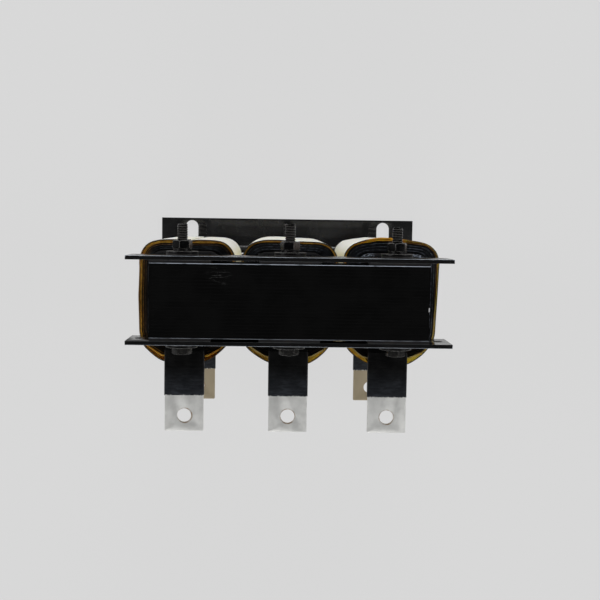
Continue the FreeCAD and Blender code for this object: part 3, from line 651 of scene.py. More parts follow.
# %% Wind a thread
def threaded_rod(name, start, end):
    """An M8 thread along Z between two levels in millimetres, with a bevelled tip."""
    pitch, crest, root = 1.25, 4.0, 3.28
    profile = bpy.data.meshes.new(name)
    profile.from_pydata([(root * MM, 0, 0), (crest * MM, 0, 0.5 * pitch * MM),
                         (crest * MM, 0, 0.62 * pitch * MM), (root * MM, 0, pitch * MM)],
                        [(0, 1), (1, 2), (2, 3)], [])
    rod = bpy.data.objects.new(name, profile)
    bpy.context.scene.collection.objects.link(rod)
    turns = math.ceil((end - start) / pitch) + 3
    use(rod, "SCREW", axis="Z", angle=math.tau, screw_offset=pitch * MM, iterations=turns,
        steps=28, render_steps=28, use_merge_vertices=True, merge_threshold=0.001 * MM)
    edit(rod, everything=True)
    bpy.ops.mesh.remove_doubles(threshold=0.002 * MM)
    bpy.ops.transform.translate(value=(0, 0, (start - 2 * pitch) * MM))
    for level, sides in ((start, {"clear_inner": True}), (end, {"clear_outer": True})):
        bpy.ops.mesh.select_all(action="SELECT")
        bpy.ops.mesh.bisect(plane_co=(0, 0, level * MM), plane_no=(0, 0, 1), use_fill=True,
                            **sides)
    bpy.ops.mesh.select_all(action="SELECT")
    bpy.ops.mesh.normals_make_consistent(inside=False)
    done()
    for vertex in rod.data.vertices:
        reach = math.hypot(vertex.co.x, vertex.co.y)
        limit = (3.1 * MM) + max(0.0, end * MM - vertex.co.z)
        if reach > limit:
            vertex.co.x *= limit / reach
            vertex.co.y *= limit / reach
    return smooth(rod, 30)


# %% Assemble a bolt, and copy it to its six places
def turned_to(piece, angle, place, towards=1):
    """Spins a piece that stands on the floor, lays it along +Y or -Y, and moves it."""
    alone(piece)
    bpy.ops.transform.rotate(value=math.radians(angle), orient_axis="Z",
                             center_override=(0, 0, 0))
    bpy.ops.transform.rotate(value=math.radians(90 * towards), orient_axis="X",
                             center_override=(0, 0, 0))
    bpy.ops.transform.translate(value=[value * MM for value in place])
    bpy.ops.object.transform_apply(location=True, rotation=True, scale=True)
    return piece


LEVELS = {"upper": MIDDLE + BOLTS_UP, "lower": MIDDLE - BOLTS_UP}
SEAT = 35.9  # heads and spring washers sit this far from the core's middle plane
NUT_SEAT = 37.5
TAILS = {"left": 56.2, "middle": 57.3, "right": 55.3}
HEAD_TURNS = {"left": 40, "middle": 30, "right": 10}
NUT_TURNS = {"left": 13, "middle": 40, "right": 16}
bolt_head = hexagon("bolt_head", 5.3, 1)
bolt_nut = hexagon("bolt_nut", 6.5, 2)


def bolt(name, level, coil):
    """Head at the front, plain shank through the core and thread at the back."""
    tail, shank_length = TAILS[coil] + SEAT, 74
    head = turned_to(copy_of(bolt_head, name), HEAD_TURNS[coil], (0, 0, 0), -1)
    bpy.ops.object.select_all(action="DESELECT")
    bpy.ops.mesh.primitive_cylinder_add(
        vertices=28, radius=3.9 * MM, depth=shank_length * MM,
        location=(0, shank_length / 2 * MM, 0), rotation=(math.pi / 2, 0, 0))
    shank = newest(f"{name}_shank")
    thread = turned_to(threaded_rod(f"{name}_thread", 72, tail), 0, (0, 0, 0))
    for piece in (shank, thread):
        piece.data.materials.append(oxide)
    whole = join([head, shank, thread], name)
    alone(whole)
    bpy.ops.transform.translate(value=(COILS[coil] * MM, -SEAT * MM, LEVELS[level] * MM))
    bpy.ops.object.transform_apply(location=True)
    return hand_in(whole, "black_oxide_steel", None, f"{level}_yoke_bolts")


for level in LEVELS:
    for coil in COILS:
        bolt(f"{level}_{coil}_bolt", level, coil)
        nut = turned_to(copy_of(bolt_nut, f"{level}_{coil}_nut"), NUT_TURNS[coil],
                        (COILS[coil], NUT_SEAT, LEVELS[level]))
        hand_in(nut, "black_oxide_steel", None, "yoke_bolt_nuts")
bpy.data.objects.remove(bolt_head)
bpy.data.objects.remove(bolt_nut)
print("6 bolts and 6 nuts")


# %% Washers, from two circles bridged to a ring
def flat_ring(name, outer, inner, thickness, rows=56):
    """A ring on the floor, sizes in millimetres."""
    bpy.ops.object.select_all(action="DESELECT")
    bpy.ops.mesh.primitive_circle_add(vertices=rows, radius=outer * MM)
    ring = newest(name)
    edit(ring)
    bpy.ops.mesh.primitive_circle_add(vertices=rows, radius=inner * MM)
    bpy.ops.mesh.select_all(action="SELECT")
    bpy.ops.mesh.bridge_edge_loops()
    bpy.ops.mesh.normals_make_consistent(inside=False)
    done()
    if ring.data.polygons[0].normal.z < 0:
        edit(ring, everything=True)
        bpy.ops.mesh.flip_normals()
        done()
    use(ring, "SOLIDIFY", thickness=thickness * MM, offset=-1)
    alone(ring)
    bpy.ops.transform.translate(value=(0, 0, thickness * MM))
    bpy.ops.object.transform_apply(location=True)
    return ring


steel_ring = ease(flat_ring("steel_ring", 12.0, 4.3, 2.0), 0.22, rows=2,
                  finishes=(washer_finish, steel_edge_highlight))
paper_ring = ease(flat_ring("paper_ring", 12.0, 4.3, 1.2), 0.15, rows=1,
                  finishes=(hard_paper, hard_paper))
spring_ring = flat_ring("spring_ring", 6.8, 4.2, 1.5, rows=48)
edit(spring_ring)
pick(spring_ring, "faces", lambda f: abs(f.calc_center_median().x) < 0.35 * MM
     and f.calc_center_median().y > 0)
bpy.ops.mesh.delete(type="FACE")
pick(spring_ring, "edges", lambda e: e.is_boundary)
bpy.ops.mesh.edge_face_add()
done()
spring_ring.data.materials.append(washer_finish)
print("slit ring faces", len(spring_ring.data.polygons))

PAPER_SEAT = 32.7  # an insulating washer's inner face
chance = random.Random(7)
for level, height in LEVELS.items():
    for coil, x in COILS.items():
        for side, sign in (("front", -1), ("back", 1)):
            for kind, ring, slot, node, near, thick in (
                    ("insulator", paper_ring, "dark_insulation", "insulating_washers", PAPER_SEAT, 1.2),
                    ("washer", steel_ring, "washer_steel", "steel_washers", WASHER_SEAT, 2.0)):
                start = near if sign > 0 else -near - thick
                shift = (x + chance.uniform(-0.2, 0.2), start,
                         height - chance.uniform(0.0, 0.25) - (0.15 if kind == "washer" else 0))
                disc = turned_to(copy_of(ring, f"{level}_{coil}_{side}_{kind}"),
                                 chance.uniform(0, 60), shift)
                hand_in(disc, slot, None, node)
        spring = turned_to(copy_of(spring_ring, f"{level}_{coil}_spring_washer"),
                           chance.uniform(-60, 60), (x, SEAT, height))
        hand_in(spring, "washer_steel", None, "spring_washers")
for ring in (steel_ring, paper_ring, spring_ring):
    bpy.data.objects.remove(ring)
print("24 washers and 6 spring washers")

# %% [markdown]
# ## Coil formers and wedges
# Each coil is wound on a tube of pressed board that slides over the limb, with flat wedges driven
# in so that it can't hum. The tube starts as a block whose upright edges are rounded; its two ends
# are taken off and the wall gets its thickness inwards. Sawn board ends are rough and pale.

# %% Finish of the pressed board
pressboard = new_finish("coil_former_board", Roughness=0.6, Specular_IOR_Level=0.3)
pulp = grain(1.1, detail=7, rough=0.78)
shade = mottled(pulp, 0.4, 0.7, tone(7, 7, 8), tone(24, 25, 27))

# The varnish missed parts of the sawn end on the right coil.
missed = maths("MAXIMUM", near_spot((58, 34, 203), 12), near_spot((101, 34, 203), 9))
crumbs = ramp(grain(0.6, detail=8, rough=0.8), 0.5, 0.56)
shade = mixed(times(ramp(missed, 0.05, 0.5), crumbs), shade, tone(150, 160, 174))
feed(Base_Color=shade, Normal=relief(pulp, 0.3, 0.8))

# %% Model the formers and ease the wedges
for coil in COILS:
    low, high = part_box(f"{coil}_former")
    tube = add_block(f"{coil}_board_tube", low, high)
    edit(tube)
    pick(tube, "edges", lambda e: abs(e.verts[0].co.z - e.verts[1].co.z) > 0.1)
    bpy.ops.mesh.bevel(offset=10 * MM, segments=9, affect="EDGES")
    pick(tube, "faces", lambda f: abs(f.normal.z) > 0.9)
    bpy.ops.mesh.delete(type="ONLY_FACE")
    done()
    use(tube, "SOLIDIFY", thickness=2 * MM, offset=-1)
    ease(tube, 0.2, rows=1, angle=50)
    hand_in(tube, "coil_former_board", pressboard, f"{coil}_former")
    wedge = ease(merged_copy(f"{coil}_packing_wedges", f"{coil}_wedges"), 0.3, rows=1)
    hand_in(wedge, "insulating_board", board, f"{coil}_packing_wedges")
print("3 formers")

# %% [markdown]
# ## Windings
# Each coil is one wide copper strip rolled up with a strip of insulating paper, eight turns, over
# the leg of its first lead. The paper is wider than the copper, so from above its edges stand
# proud and the copper lies dark between them. Both strips follow one line round the coil: it runs
# straight on the flats and round on the corners, and moves outwards by one pitch a turn. That line
# is drawn as points, pulled up into a wall with extrude, and given its thickness.

# %% The line round a coil
FORMER_RADIUS, ACROSS, ALONG = 10.0, 17.5, 25.0
LEG, LEG_FRONT = 15.0, 38.0
FOIL, PAPER, WRAP = 0.77, 0.3, 0.8
PITCH, TURNS = FOIL + PAPER, 8
LEAD_SHIFT = {"left": -0.6, "middle": 0.0, "right": -2.7}


def arc(hub, radius, first, last, step=9.0):
    """Anchors on a corner: a point on its base circle, and the outward direction there."""
    count = max(1, math.ceil(abs(last - first) / step))
    angles = [math.radians(first + (last - first) * i / count) for i in range(count + 1)]
    return [(Vector((hub[0] + radius * math.cos(a), hub[1] + radius * math.sin(a))),
             Vector((math.cos(a), math.sin(a)))) for a in angles]


def with_flats(anchors, spacing=6.0):
    """Adds anchors along the straight runs between corners, in a closed round."""
    full = []
    for (spot, out), (after, out_after) in zip(anchors, anchors[1:] + anchors[:1]):
        full.append((spot, out))
        gap = (after - spot).length
        if gap > spacing and out.dot(out_after) > 0.999:
            count = int(gap / spacing)
            full += [(spot.lerp(after, i / (count + 1)), out) for i in range(1, count + 1)]
    return full


def turn_anchors(lead_x):
    """One turn, anticlockwise from the right edge of the first lead's leg."""
    def slant(leg_x, side):
        dx, dy = ACROSS - side * leg_x, LEG_FRONT - ALONG
        return math.degrees(math.atan2(dy, dx) - math.acos(-FORMER_RADIUS / math.hypot(dx, dy)))

    right, left = slant(lead_x + LEG, 1), slant(lead_x - LEG, -1)
    anchors = arc((lead_x + LEG, -LEG_FRONT), 0, -90, right)
    anchors += arc((ACROSS, -ALONG), FORMER_RADIUS, right, 0)
    anchors += arc((ACROSS, ALONG), FORMER_RADIUS, 0, 90)
    anchors += arc((-ACROSS, ALONG), FORMER_RADIUS, 90, 180)
    anchors += arc((-ACROSS, -ALONG), FORMER_RADIUS, 180, 180 - left)
    anchors += arc((lead_x - LEG, -LEG_FRONT), 0, 180 - left, 270)
    return with_flats(anchors)


# No coil is wound as tight as the next. This is the room between the last turn and the outer sheet.
LOOSE = {"left": 2.1, "middle": 1.2, "right": 1.9}

# How far the outer sheet stands off the former, in millimetres, at bearings in degrees from the
# coil's middle: 0 is the right side, 90 the back.
STANDS_OFF = {
    "left": ((-60, 9.6), (0, 9.9), (46, 11.2), (53, 10.9), (57, 10.2), (61, 9.4), (64, 8.9),
             (68, 8.7), (90, 9.05), (105, 9.0), (112, 8.75), (117, 8.75), (124, 9.6), (129, 9.9),
             (150, 9.0), (180, 9.75), (214, 9.0)),
    "middle": ((-60, 9.6), (0, 9.9), (46, 11.1), (52, 10.7), (56, 10.0), (60, 9.4), (63, 8.85),
               (67, 8.5), (74, 8.6), (84, 8.9), (102, 9.65), (113, 9.5), (116, 9.4), (120, 9.7),
               (123, 10.1), (127, 10.8), (132, 10.7), (150, 9.8), (180, 9.9), (214, 9.8)),
    "right": ((-60, 7.6), (-36, 7.5), (0, 8.6), (32, 9.4), (48, 10.8), (55, 10.6), (59, 10.25),
              (63, 9.9), (67, 10.0), (72, 10.5), (78, 11.5), (88, 12.1), (100, 12.5),
              (104, 12.4), (107, 11.9), (111, 11.3), (114, 10.9), (118, 10.7), (122, 10.85),
              (125, 11.4), (130, 11.85), (135, 12.0), (146, 10.4), (180, 9.9), (214, 9.8))}


def between(table, value):
    """Reads a table of places and amounts at a value, straight between its rows."""
    value = min(max(value, table[0][0]), table[-1][0])
    for (before, first), (after, last) in zip(table, table[1:]):
        if value <= after:
            return first + (last - first) * (value - before) / (after - before)


def stand_off(coil, spot, out):
    """How far the outer sheet stands off the former where a direction leaves it."""
    here = spot + out * 10
    bearing = math.degrees(math.atan2(here.y, here.x)) % 360
    return between(STANDS_OFF[coil], bearing - 360 if bearing > 270 else bearing)


# For the sheet's two front corners, left and right: how far its outer face lies from the corner's
# hub, at degrees past the flat side. The last row is where the sheet meets the lead's leg.
FRONT_REACH = {
    "left": (((0, 18.9), (20, 19.4), (45, 21.2), (57, 21.7), (67, 22.6), (76, 23.95),
              (84, 25.4), (94.1, 26.85)),
             ((0, 19.5), (42, 19.6), (55, 20.15), (64, 20.9), (72, 21.95), (80, 23.4), (88, 25.2),
              (96.6, 26.85))),
    "middle": (((0, 19.8), (20, 20.2), (43, 21.25), (52, 21.5), (60, 21.8), (68, 22.3),
                (75, 23.1), (81, 23.9), (87, 25.0), (95.4, 26.7)),
               ((0, 19.7), (43, 19.8), (53, 20.4), (62, 21.3), (70, 22.3), (77, 23.5), (83, 24.65),
                (89, 26.05), (95.4, 27.45))),
    "right": (((0, 19.8), (20, 20.8), (42, 22.1), (51, 22.55), (60, 22.9), (75, 24.3),
               (89.6, 26.7)),
              ((0, 17.5), (30, 17.8), (49, 18.6), (59, 19.5), (68, 20.7), (76, 21.8),
               (83, 23.1), (89, 24.5), (94, 25.9), (101, 27.7)))}

# How many closing films lie between pack and sheet, and how thick each is.
FILMS = {"left": 5, "middle": 4, "right": 4}
FILM = 0.2
SNUG = 0.12  # least room left inside the sheet


def sheet_inside(coil, spot, out):
    """How far the inner face of the outer sheet lies from the former in a direction."""
    if out.y >= 0:
        return stand_off(coil, spot, out) - WRAP
    past = math.degrees(math.atan2(-out.y, abs(out.x)))
    return between(FRONT_REACH[coil][0 if out.x < 0 else 1], past) - FORMER_RADIUS - WRAP


def pack_share(coil, spot, out):
    """How tight the turns lie: their real depth over their nominal one, 1 over the leads."""
    corner = 0 if coil == "left" and out.x < 0 else 2 * abs(out.x * out.y)
    loose = LOOSE[coil] * (1 - 0.45 * corner)
    tight = (stand_off(coil, spot, out) - WRAP - loose) / (TURNS * PITCH)
    tight = min(1.22, max(0.7, tight))
    near_leads = min(1.0, max(0.0, (0.2 - out.y) / 0.6))
    share = tight + (1 - tight) * near_leads * near_leads * (3 - 2 * near_leads)
    most = sheet_inside(coil, spot, out) - SNUG - FILM * FILMS[coil]
    return min(share, most / (TURNS * PITCH))


def ripple(seed, spot, turn, amount):
    """A smooth in-and-out of a turn, which differs a little from the next turn's."""
    here = Vector((spot.x * 0.06, spot.y * 0.06, seed + turn * 0.22))
    return amount * noise.noise(here)


def wound_line(coil, seed, middle, slack=0.16):
    """Points of a strip's middle line through all its turns, in millimetres."""
    anchors = turn_anchors(LEAD_SHIFT[coil])
    points = []
    for turn in range(TURNS):
        for i, (spot, out) in enumerate(anchors):
            grown = (turn + i / len(anchors)) * PITCH
            ease_in = min(1.0, grown / 2.0) * min(1.0, (TURNS * PITCH - grown) / 1.5 + 0.2)
            depth = (grown + middle) * pack_share(coil, spot, out)
            points.append(spot + out * (depth + ripple(seed, spot, turn, slack) * ease_in))
    return points


print("points a turn", len(turn_anchors(0)))


# %% Walls from a line
def wall(name, x, points, low, high, rows, thickness):
    """Pulls a line of points up into a wall between two levels and thickens it."""
    count = len(points)
    pairs = [(i, i + 1) for i in range(count - 1)]
    line = bpy.data.meshes.new(name)
    line.from_pydata([((p.x + x) * MM, p.y * MM, low * MM) for p in points], pairs, [])
    turn = line.attributes.new("turn", "FLOAT", "POINT")
    turn.data.foreach_set("value", [i / len(turn_anchors(0)) for i in range(count)])
    piece = bpy.data.objects.new(name, line)
    bpy.context.scene.collection.objects.link(piece)
    edit(piece, everything=True)
    for _ in range(rows):
        bpy.ops.mesh.extrude_edges_move(
            TRANSFORM_OT_translate={"value": (0, 0, (high - low) / rows * MM)})
    bpy.ops.mesh.select_all(action="SELECT")
    bpy.ops.mesh.normals_make_consistent(inside=False)
    done()
    outward = sum(f.normal.dot(Vector((f.center.x - x * MM, f.center.y, 0)))
                  for f in piece.data.polygons)
    if outward < 0:
        edit(piece, everything=True)
        bpy.ops.mesh.flip_normals()
        done()
    use(piece, "SOLIDIFY", thickness=thickness * MM, offset=0)
    return piece


def uneven_ends(piece, amount, seed, pace=0.12):
    """Lets the two rims of a wall rise and fall a little, as a rolled strip's edges do."""
    levels = [vertex.co.z for vertex in piece.data.vertices]
    low, high = min(levels), max(levels)
    for vertex in piece.data.vertices:
        here = Vector((vertex.co.x / MM * pace, vertex.co.y / MM * pace, seed))
        drop = amount * MM * (0.5 + 0.5 * noise.noise(here))
        if vertex.co.z > high - 0.5 * MM:
            vertex.co.z -= drop
        elif vertex.co.z < low + 0.5 * MM:
            vertex.co.z += drop


# %% [markdown]
# ## Finishes of the windings
# The whole coil was dipped in dark varnish, so from above the copper is black and only the edges
# of the paper show, as thin grey lines. Where the varnish ran off, at the front and in the last
# turns, the paper kept its amber colour. The finishes ask how many turns were wound before a point.


# %% Copper and paper finishes
def by_turn():
    """The number of turns wound before a point, from the attribute that the wall carries."""
    return layer("ShaderNodeAttribute", attribute_name="turn").outputs["Fac"]


def amber_share():
    """Amber shows in the last turns only, least on the right coil and most on the left's side."""
    wound = maths("SUBTRACT", by_turn(), along("X", -50, -30, 0.0, 1.2))
    last = ramp(wound, 4.9, 6.7)
    last = times(last, along("X", 34, 48, 1.0, 0.5))
    left_side = times(along("X", -106, -110), ramp(by_turn(), 2.0, 6.0, 0.0, 0.8))
    return maths("MAXIMUM", last, left_side)


copper = new_finish("copper_foil", Metallic=0.1, Specular_IOR_Level=0.15)
drips = grain(0.6, detail=5, rough=0.7)
skin = mottled(drips, 0.62, 0.8, tone(3, 3, 3), tone(15, 11, 8))
skin = mixed(times(amber_share(), 0.6), skin, tone(62, 36, 12))
feed(Base_Color=skin, Roughness=ramp(drips, 0.3, 0.7, 0.4, 0.6), Normal=relief(drips, 0.08, 0.6))

paper = new_finish("interleaf_film", Roughness=0.5, Specular_IOR_Level=0.2)
soak = grain(0.5, detail=5, rough=0.65)
rim = ramp(apart(axis("Z"), MIDDLE), 67.6, 69.0)
dim_rim = mottled(soak, 0.38, 0.66, tone(34, 36, 39), tone(92, 97, 104))
plain_rim = mottled(soak, 0.38, 0.66, tone(46, 49, 53), tone(134, 141, 152))
plain_rim = mixed(along("X", -50, -35), dim_rim, plain_rim)
front_rim = mottled(soak, 0.38, 0.66, tone(24, 18, 10), tone(66, 50, 28))
plain_rim = mixed(along("Y", -26, -38), plain_rim, front_rim)
amber_rim = mottled(soak, 0.38, 0.66, tone(132, 86, 30), tone(202, 150, 66))
rim_tone = mixed(amber_share(), plain_rim, amber_rim)

# Every other turn of paper stood in the varnish and is nearly black to its very edge.
odd = maths("FLOORED_MODULO", maths("FLOOR", by_turn()), 2.0)
rim_tone = mixed(odd, mixed(0.96, rim_tone, grey(4)), rim_tone)
skin = mixed(rim, tone(4, 4, 4), rim_tone)
feed(Base_Color=skin, Normal=relief(grain(1.5, detail=4), 0.08, 0.5))

amber_film = new_finish("amber_film", Roughness=0.32, Specular_IOR_Level=0.5,
                        Subsurface_Weight=0.5, Subsurface_Scale=0.002,
                        Subsurface_Radius=(1.0, 0.75, 0.35))
runs = grain(0.35, detail=5, stretch=(1, 1, 0.3))
dull = mottled(runs, 0.35, 0.65, tone(180, 118, 34), tone(230, 166, 58))
bright = mottled(runs, 0.35, 0.65, tone(255, 158, 4), tone(255, 188, 14))
skin = mixed(along("X", 30, 50), dull, bright)
spent = along("X", 84, 94, 0.0, 0.85)
skin = mixed(spent, skin, tone(30, 25, 18))
pale = times(along("Y", 5, -15), along("X", -50, -30))
feed(Base_Color=mixed(pale, skin, tone(190, 164, 104)), Normal=relief(runs, 0.1, 0.5))

# %% Wind the three coils
# The coil hangs a little differently below its rim: how far in it lies at its foot, at the back.
FOOT_IN = {"left": -0.3, "middle": -0.7, "right": 1.8}
LEAN_WIDTH, LEAN_DEPTH, LEAN_DROP = ACROSS + 12, 7, 40


def lean(piece, coil, x, high):
    """Moves the back of a wall in, the more the lower and the farther from the former."""
    for vertex in piece.data.vertices:
        across = (vertex.co.x / MM - x) / LEAN_WIDTH
        depth = (vertex.co.y / MM - ALONG - FORMER_RADIUS) / LEAN_DEPTH
        if depth > 0 and abs(across) < 1:
            down = min(1.0, (high - vertex.co.z) / (LEAN_DROP * MM))
            vertex.co.y -= FOOT_IN[coil] * MM * down * (1 - across ** 4) * min(1.0, depth)


# Each strip: piece, node, slot, finish, middle of its thickness from the turn's start, thickness as
# drawn, how far below the rim its middle row lies, and how uneven its rims are.
STRIPS = (("copper_strip", "foil_winding", "copper_foil", copper, FOIL / 2, FOIL * 0.62, 40,
           (0.5, 0, 0.12)),
          ("paper_strip", "interleaf", "interleaf_film", paper, FOIL + PAPER / 2, PAPER * 0.7, 2.5,
           (0.9, 10, 0.3)))
END_ROWS = 9
for number, (coil, x) in enumerate(COILS.items()):
    for name, node, slot, finish, middle, thickness, knee, (rise, seed, pace) in STRIPS:
        low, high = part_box(f"{coil}_{node}")
        line = wound_line(coil, number * 5.0, middle)
        strip = wall(f"{coil}_{name}", x, line, low.z / MM, high.z / MM, 2, thickness)
        for vertex in strip.data.vertices:
            if low.z + END_ROWS * MM < vertex.co.z < high.z - END_ROWS * MM:
                vertex.co.z = high.z - knee * MM
        lean(strip, coil, x, high.z)
        uneven_ends(strip, rise, number + seed, pace)
        hand_in(strip, slot, finish, f"{coil}_{node}")
        print(coil, name, len(strip.data.polygons), "faces")

# %% [markdown]
# ## Closing films
# Before the outer sheet went on, the pack was closed with a few turns of thin amber film. At the
# back they stand loose in the slack of the sheet and catch the light, so each film gets its own
# line: it starts on the pack at one side of the second lead's leg, goes round, and fans out a
# little more at the back than the film inside it.

# %% Wind the closing films
def film_line(coil, seed, number):
    """One loose film between the pack and the outer sheet, in millimetres."""
    points = []
    for spot, out in turn_anchors(LEAD_SHIFT[coil]):
        inner = TURNS * PITCH * pack_share(coil, spot, out) + 0.08
        room = stand_off(coil, spot, out) - WRAP - 0.08 - inner
        back = min(1.0, max(0.0, out.y + 0.6))
        packed = 1.2 * FILM * FILMS[coil]
        room = max(packed, room * back + packed * (1 - back))
        sway = 0.18 * room * noise.noise(Vector((spot.x * 0.11, number * 1.7, seed)))
        depth = inner + room * (number + 0.5) / FILMS[coil] + sway
        most = sheet_inside(coil, spot, out) - SNUG - FILM * (FILMS[coil] - 0.5 - number)
        points.append(spot + out * min(depth, most))
    return points


for number, (coil, x) in enumerate(COILS.items()):
    low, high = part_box(f"{coil}_interleaf")
    films = []
    for k in range(FILMS[coil]):
        line = film_line(coil, number * 3.0, k)
        films.append(wall(f"{coil}_film_{k}", x, line, low.z / MM - 0.3, high.z / MM + 0.3, 6,
                          FILM))
        lean(films[-1], coil, x, high.z)
        uneven_ends(films[-1], 1.3, number * 7 + k, 0.09)
    closing = smooth(join(films, f"{coil}_closing_films"), 50)
    hand_in(closing, "interleaf_film", amber_film, f"{coil}_interleaf")
    print(coil, len(films), "films,", len(closing.data.polygons), "faces")

# %% [markdown]
# ## Outer wrap
# A cream sheet is rolled once round the finished coil, and at the back its end is tucked under its
# start. Outside it is dull and clean. It is thin enough for light to come through, so its amber
# inner face glows beside the leads: that is what subsurface scattering is for, because it lets
# light that falls on the outside leave at the inside. The cut rim has soaked up varnish and is a
# dark line.

# %% Finishes of the wrap
wrap_cream = new_finish("wrap_sheet", Roughness=0.55, Specular_IOR_Level=0.4,
                        Subsurface_Weight=0.25, Subsurface_Scale=0.001,
                        Subsurface_Radius=(1.0, 0.8, 0.5))
fleck = grain(0.9, detail=5, rough=0.7)
cloud = grain(0.03, detail=4)
skin = mottled(cloud, 0.35, 0.7, tone(241, 240, 232), tone(236, 233, 218))
skin = mixed(ramp(fleck, 0.66, 0.82, 0, 0.3), skin, tone(206, 194, 160))
deep = along("Y", 39, 31)
skin = mixed(times(deep, 0.55), skin, tone(240, 232, 194))
feed(Base_Color=skin, Normal=relief(fleck, 0.05, 0.5))

wrap_amber = new_finish("wrap_inside", Roughness=0.35, Subsurface_Weight=0.95,
                        Subsurface_Scale=0.004, Subsurface_Radius=(1.0, 0.85, 0.6))
pool = grain(0.12, detail=4)
left_tone = mottled(pool, 0.35, 0.68, tone(122, 88, 56), tone(140, 104, 70))
middle_tone = mottled(pool, 0.35, 0.68, tone(158, 142, 104), tone(174, 158, 118))
right_tone = mixed(along("X", 55, 95), tone(224, 188, 122), tone(255, 214, 142))
middle_tone = mixed(along("X", 4, 14), middle_tone, tone(206, 184, 122))
skin = mixed(along("X", -50, -35), left_tone, middle_tone)
skin = mixed(along("X", 38, 42), skin, right_tone)

# Varnish has crept down from the rim.
crept = along("Z", 188, 195.5, 0.0, 0.5)
crept = times(crept, along("X", 80, 92, 1.0, 0.0))
feed(Base_Color=mixed(crept, skin, tone(96, 78, 50)), Normal=relief(grain(1.0, detail=4), 0.1, 0.5))

wrap_rim = new_finish("wrap_rim", Roughness=0.45)
soaked = grain(0.4, detail=5)
dark_rim = mottled(soaked, 0.4, 0.7, tone(26, 22, 16), tone(60, 48, 29))
tan_side = along("X", -113, -115.5)
rim_tone = mixed(tan_side, dark_rim, tone(112, 88, 52))
back_right = times(along("Y", 38, 44), along("X", 58, 64))
back_right = times(back_right, along("X", 82, 92, 1.0, 0.12))
feed(Base_Color=mixed(back_right, rim_tone, tone(196, 136, 12)), Normal=relief(soaked, 0.1, 0.6))


# %% Roll the wrap
def front_corner(coil, side, count=15):
    """Middle line of the wrap from the flat side round a front corner to the lead's leg."""
    table = FRONT_REACH[coil][0 if side < 0 else 1]
    points = []
    for i in range(count + 1):
        past = table[-1][0] * i / count
        angle = math.radians(past)
        out = Vector((side * math.cos(angle), -math.sin(angle)))
        points.append(Vector((side * ACROSS, -ALONG)) + out * (between(table, past) - WRAP / 2))
    return points


def wrap_line(coil):
    """Middle line of the wrap, anticlockwise from the left edge of the second lead's leg."""
    left, right = front_corner(coil, -1), front_corner(coil, 1)
    sides = arc((ACROSS, -ALONG), FORMER_RADIUS, 0, 0)[:1]
    sides += arc((ACROSS, ALONG), FORMER_RADIUS, 0, 90)
    sides += arc((-ACROSS, ALONG), FORMER_RADIUS, 90, 180)
    sides += arc((-ACROSS, -ALONG), FORMER_RADIUS, 180, 180)[:1]
    sides = [spot + out * (stand_off(coil, spot, out) - WRAP / 2)
             for spot, out in with_flats(sides, 2.5)]
    flat = [left[-1].lerp(right[-1], i / 4) for i in range(4)]
    return flat + right[:0:-1] + sides + left[1:-1]


def rolled(points, seam_x=3.5, overlap=7.0):
    """Opens the closed line at the back, behind the nut, and tucks its end under its start."""
    start = min(range(len(points)), key=lambda i: (points[i].y < ALONG) * 99
                + abs(points[i].x - seam_x))
    line = points[start:] + points[:start]
    tail = [spot for spot in points[start:start + 9] if spot.x > seam_x - overlap]
    line[-1] -= Vector((0, 0.5 * WRAP))
    line[-2] -= Vector((0, 0.15 * WRAP))
    return line + [spot - Vector((0, WRAP + 0.08)) for spot in tail]


for number, (coil, x) in enumerate(COILS.items()):
    low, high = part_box(f"{coil}_outer_wrap")
    wrap = wall(f"{coil}_cream_wrap", x, rolled(wrap_line(coil)), low.z / MM, high.z / MM,
                12, WRAP)
    lean(wrap, coil, x, high.z)
    uneven_ends(wrap, 0.7, number + 20, 0.05)
    ease(wrap, 0.1, rows=1, angle=50)
    hand_in(wrap, "wrap_sheet", wrap_cream, f"{coil}_outer_wrap")
    wrap.data.materials.append(wrap_amber)
    wrap.data.materials.append(wrap_rim)
    for face in wrap.data.polygons:
        outward = Vector((face.center.x - x * MM, face.center.y, 0))
        if abs(face.normal.z) > 0.3:
            face.material_index = 2
        elif face.normal.dot(outward) < 0:
            face.material_index = 1
    print(coil, "wrap", len(wrap.data.polygons), "faces")

# %% [markdown]
# ## Leads and sleeves
# The leads are flat tinned copper bars, bent once and drilled for a cable lug. The tin was wiped on
# hot, so it is cloudy with fine scratches along the bar, and it thins to copper at the hole and at
# the sheared corners. A black sleeve is shrunk on up to the bare end. It follows the bar but
# wrinkles across it, and its cut end is pale and a little ragged.

# %% Finish of the tinned bar
tin = new_finish("tinned_copper")
clouds = grain(0.16, detail=6, rough=0.6)
strokes = grain(2.2, detail=4, stretch=(1, 0.06, 1), rough=0.7)
cross = grain(1.8, detail=4, stretch=(0.1, 1, 1), rough=0.7)
skin = mottled(clouds, 0.35, 0.68, tone(196, 196, 193), tone(206, 206, 203))
skin = mixed(ramp(strokes, 0.54, 0.74, 0, 0.12), skin, tone(160, 158, 154))
skin = mixed(ramp(cross, 0.56, 0.76, 0, 0.5), skin, tone(222, 220, 216))
spots = ramp(grain(0.5, detail=6, rough=0.75), 0.68, 0.8, 0, 0.6)
skin = mixed(spots, skin, tone(150, 118, 84))
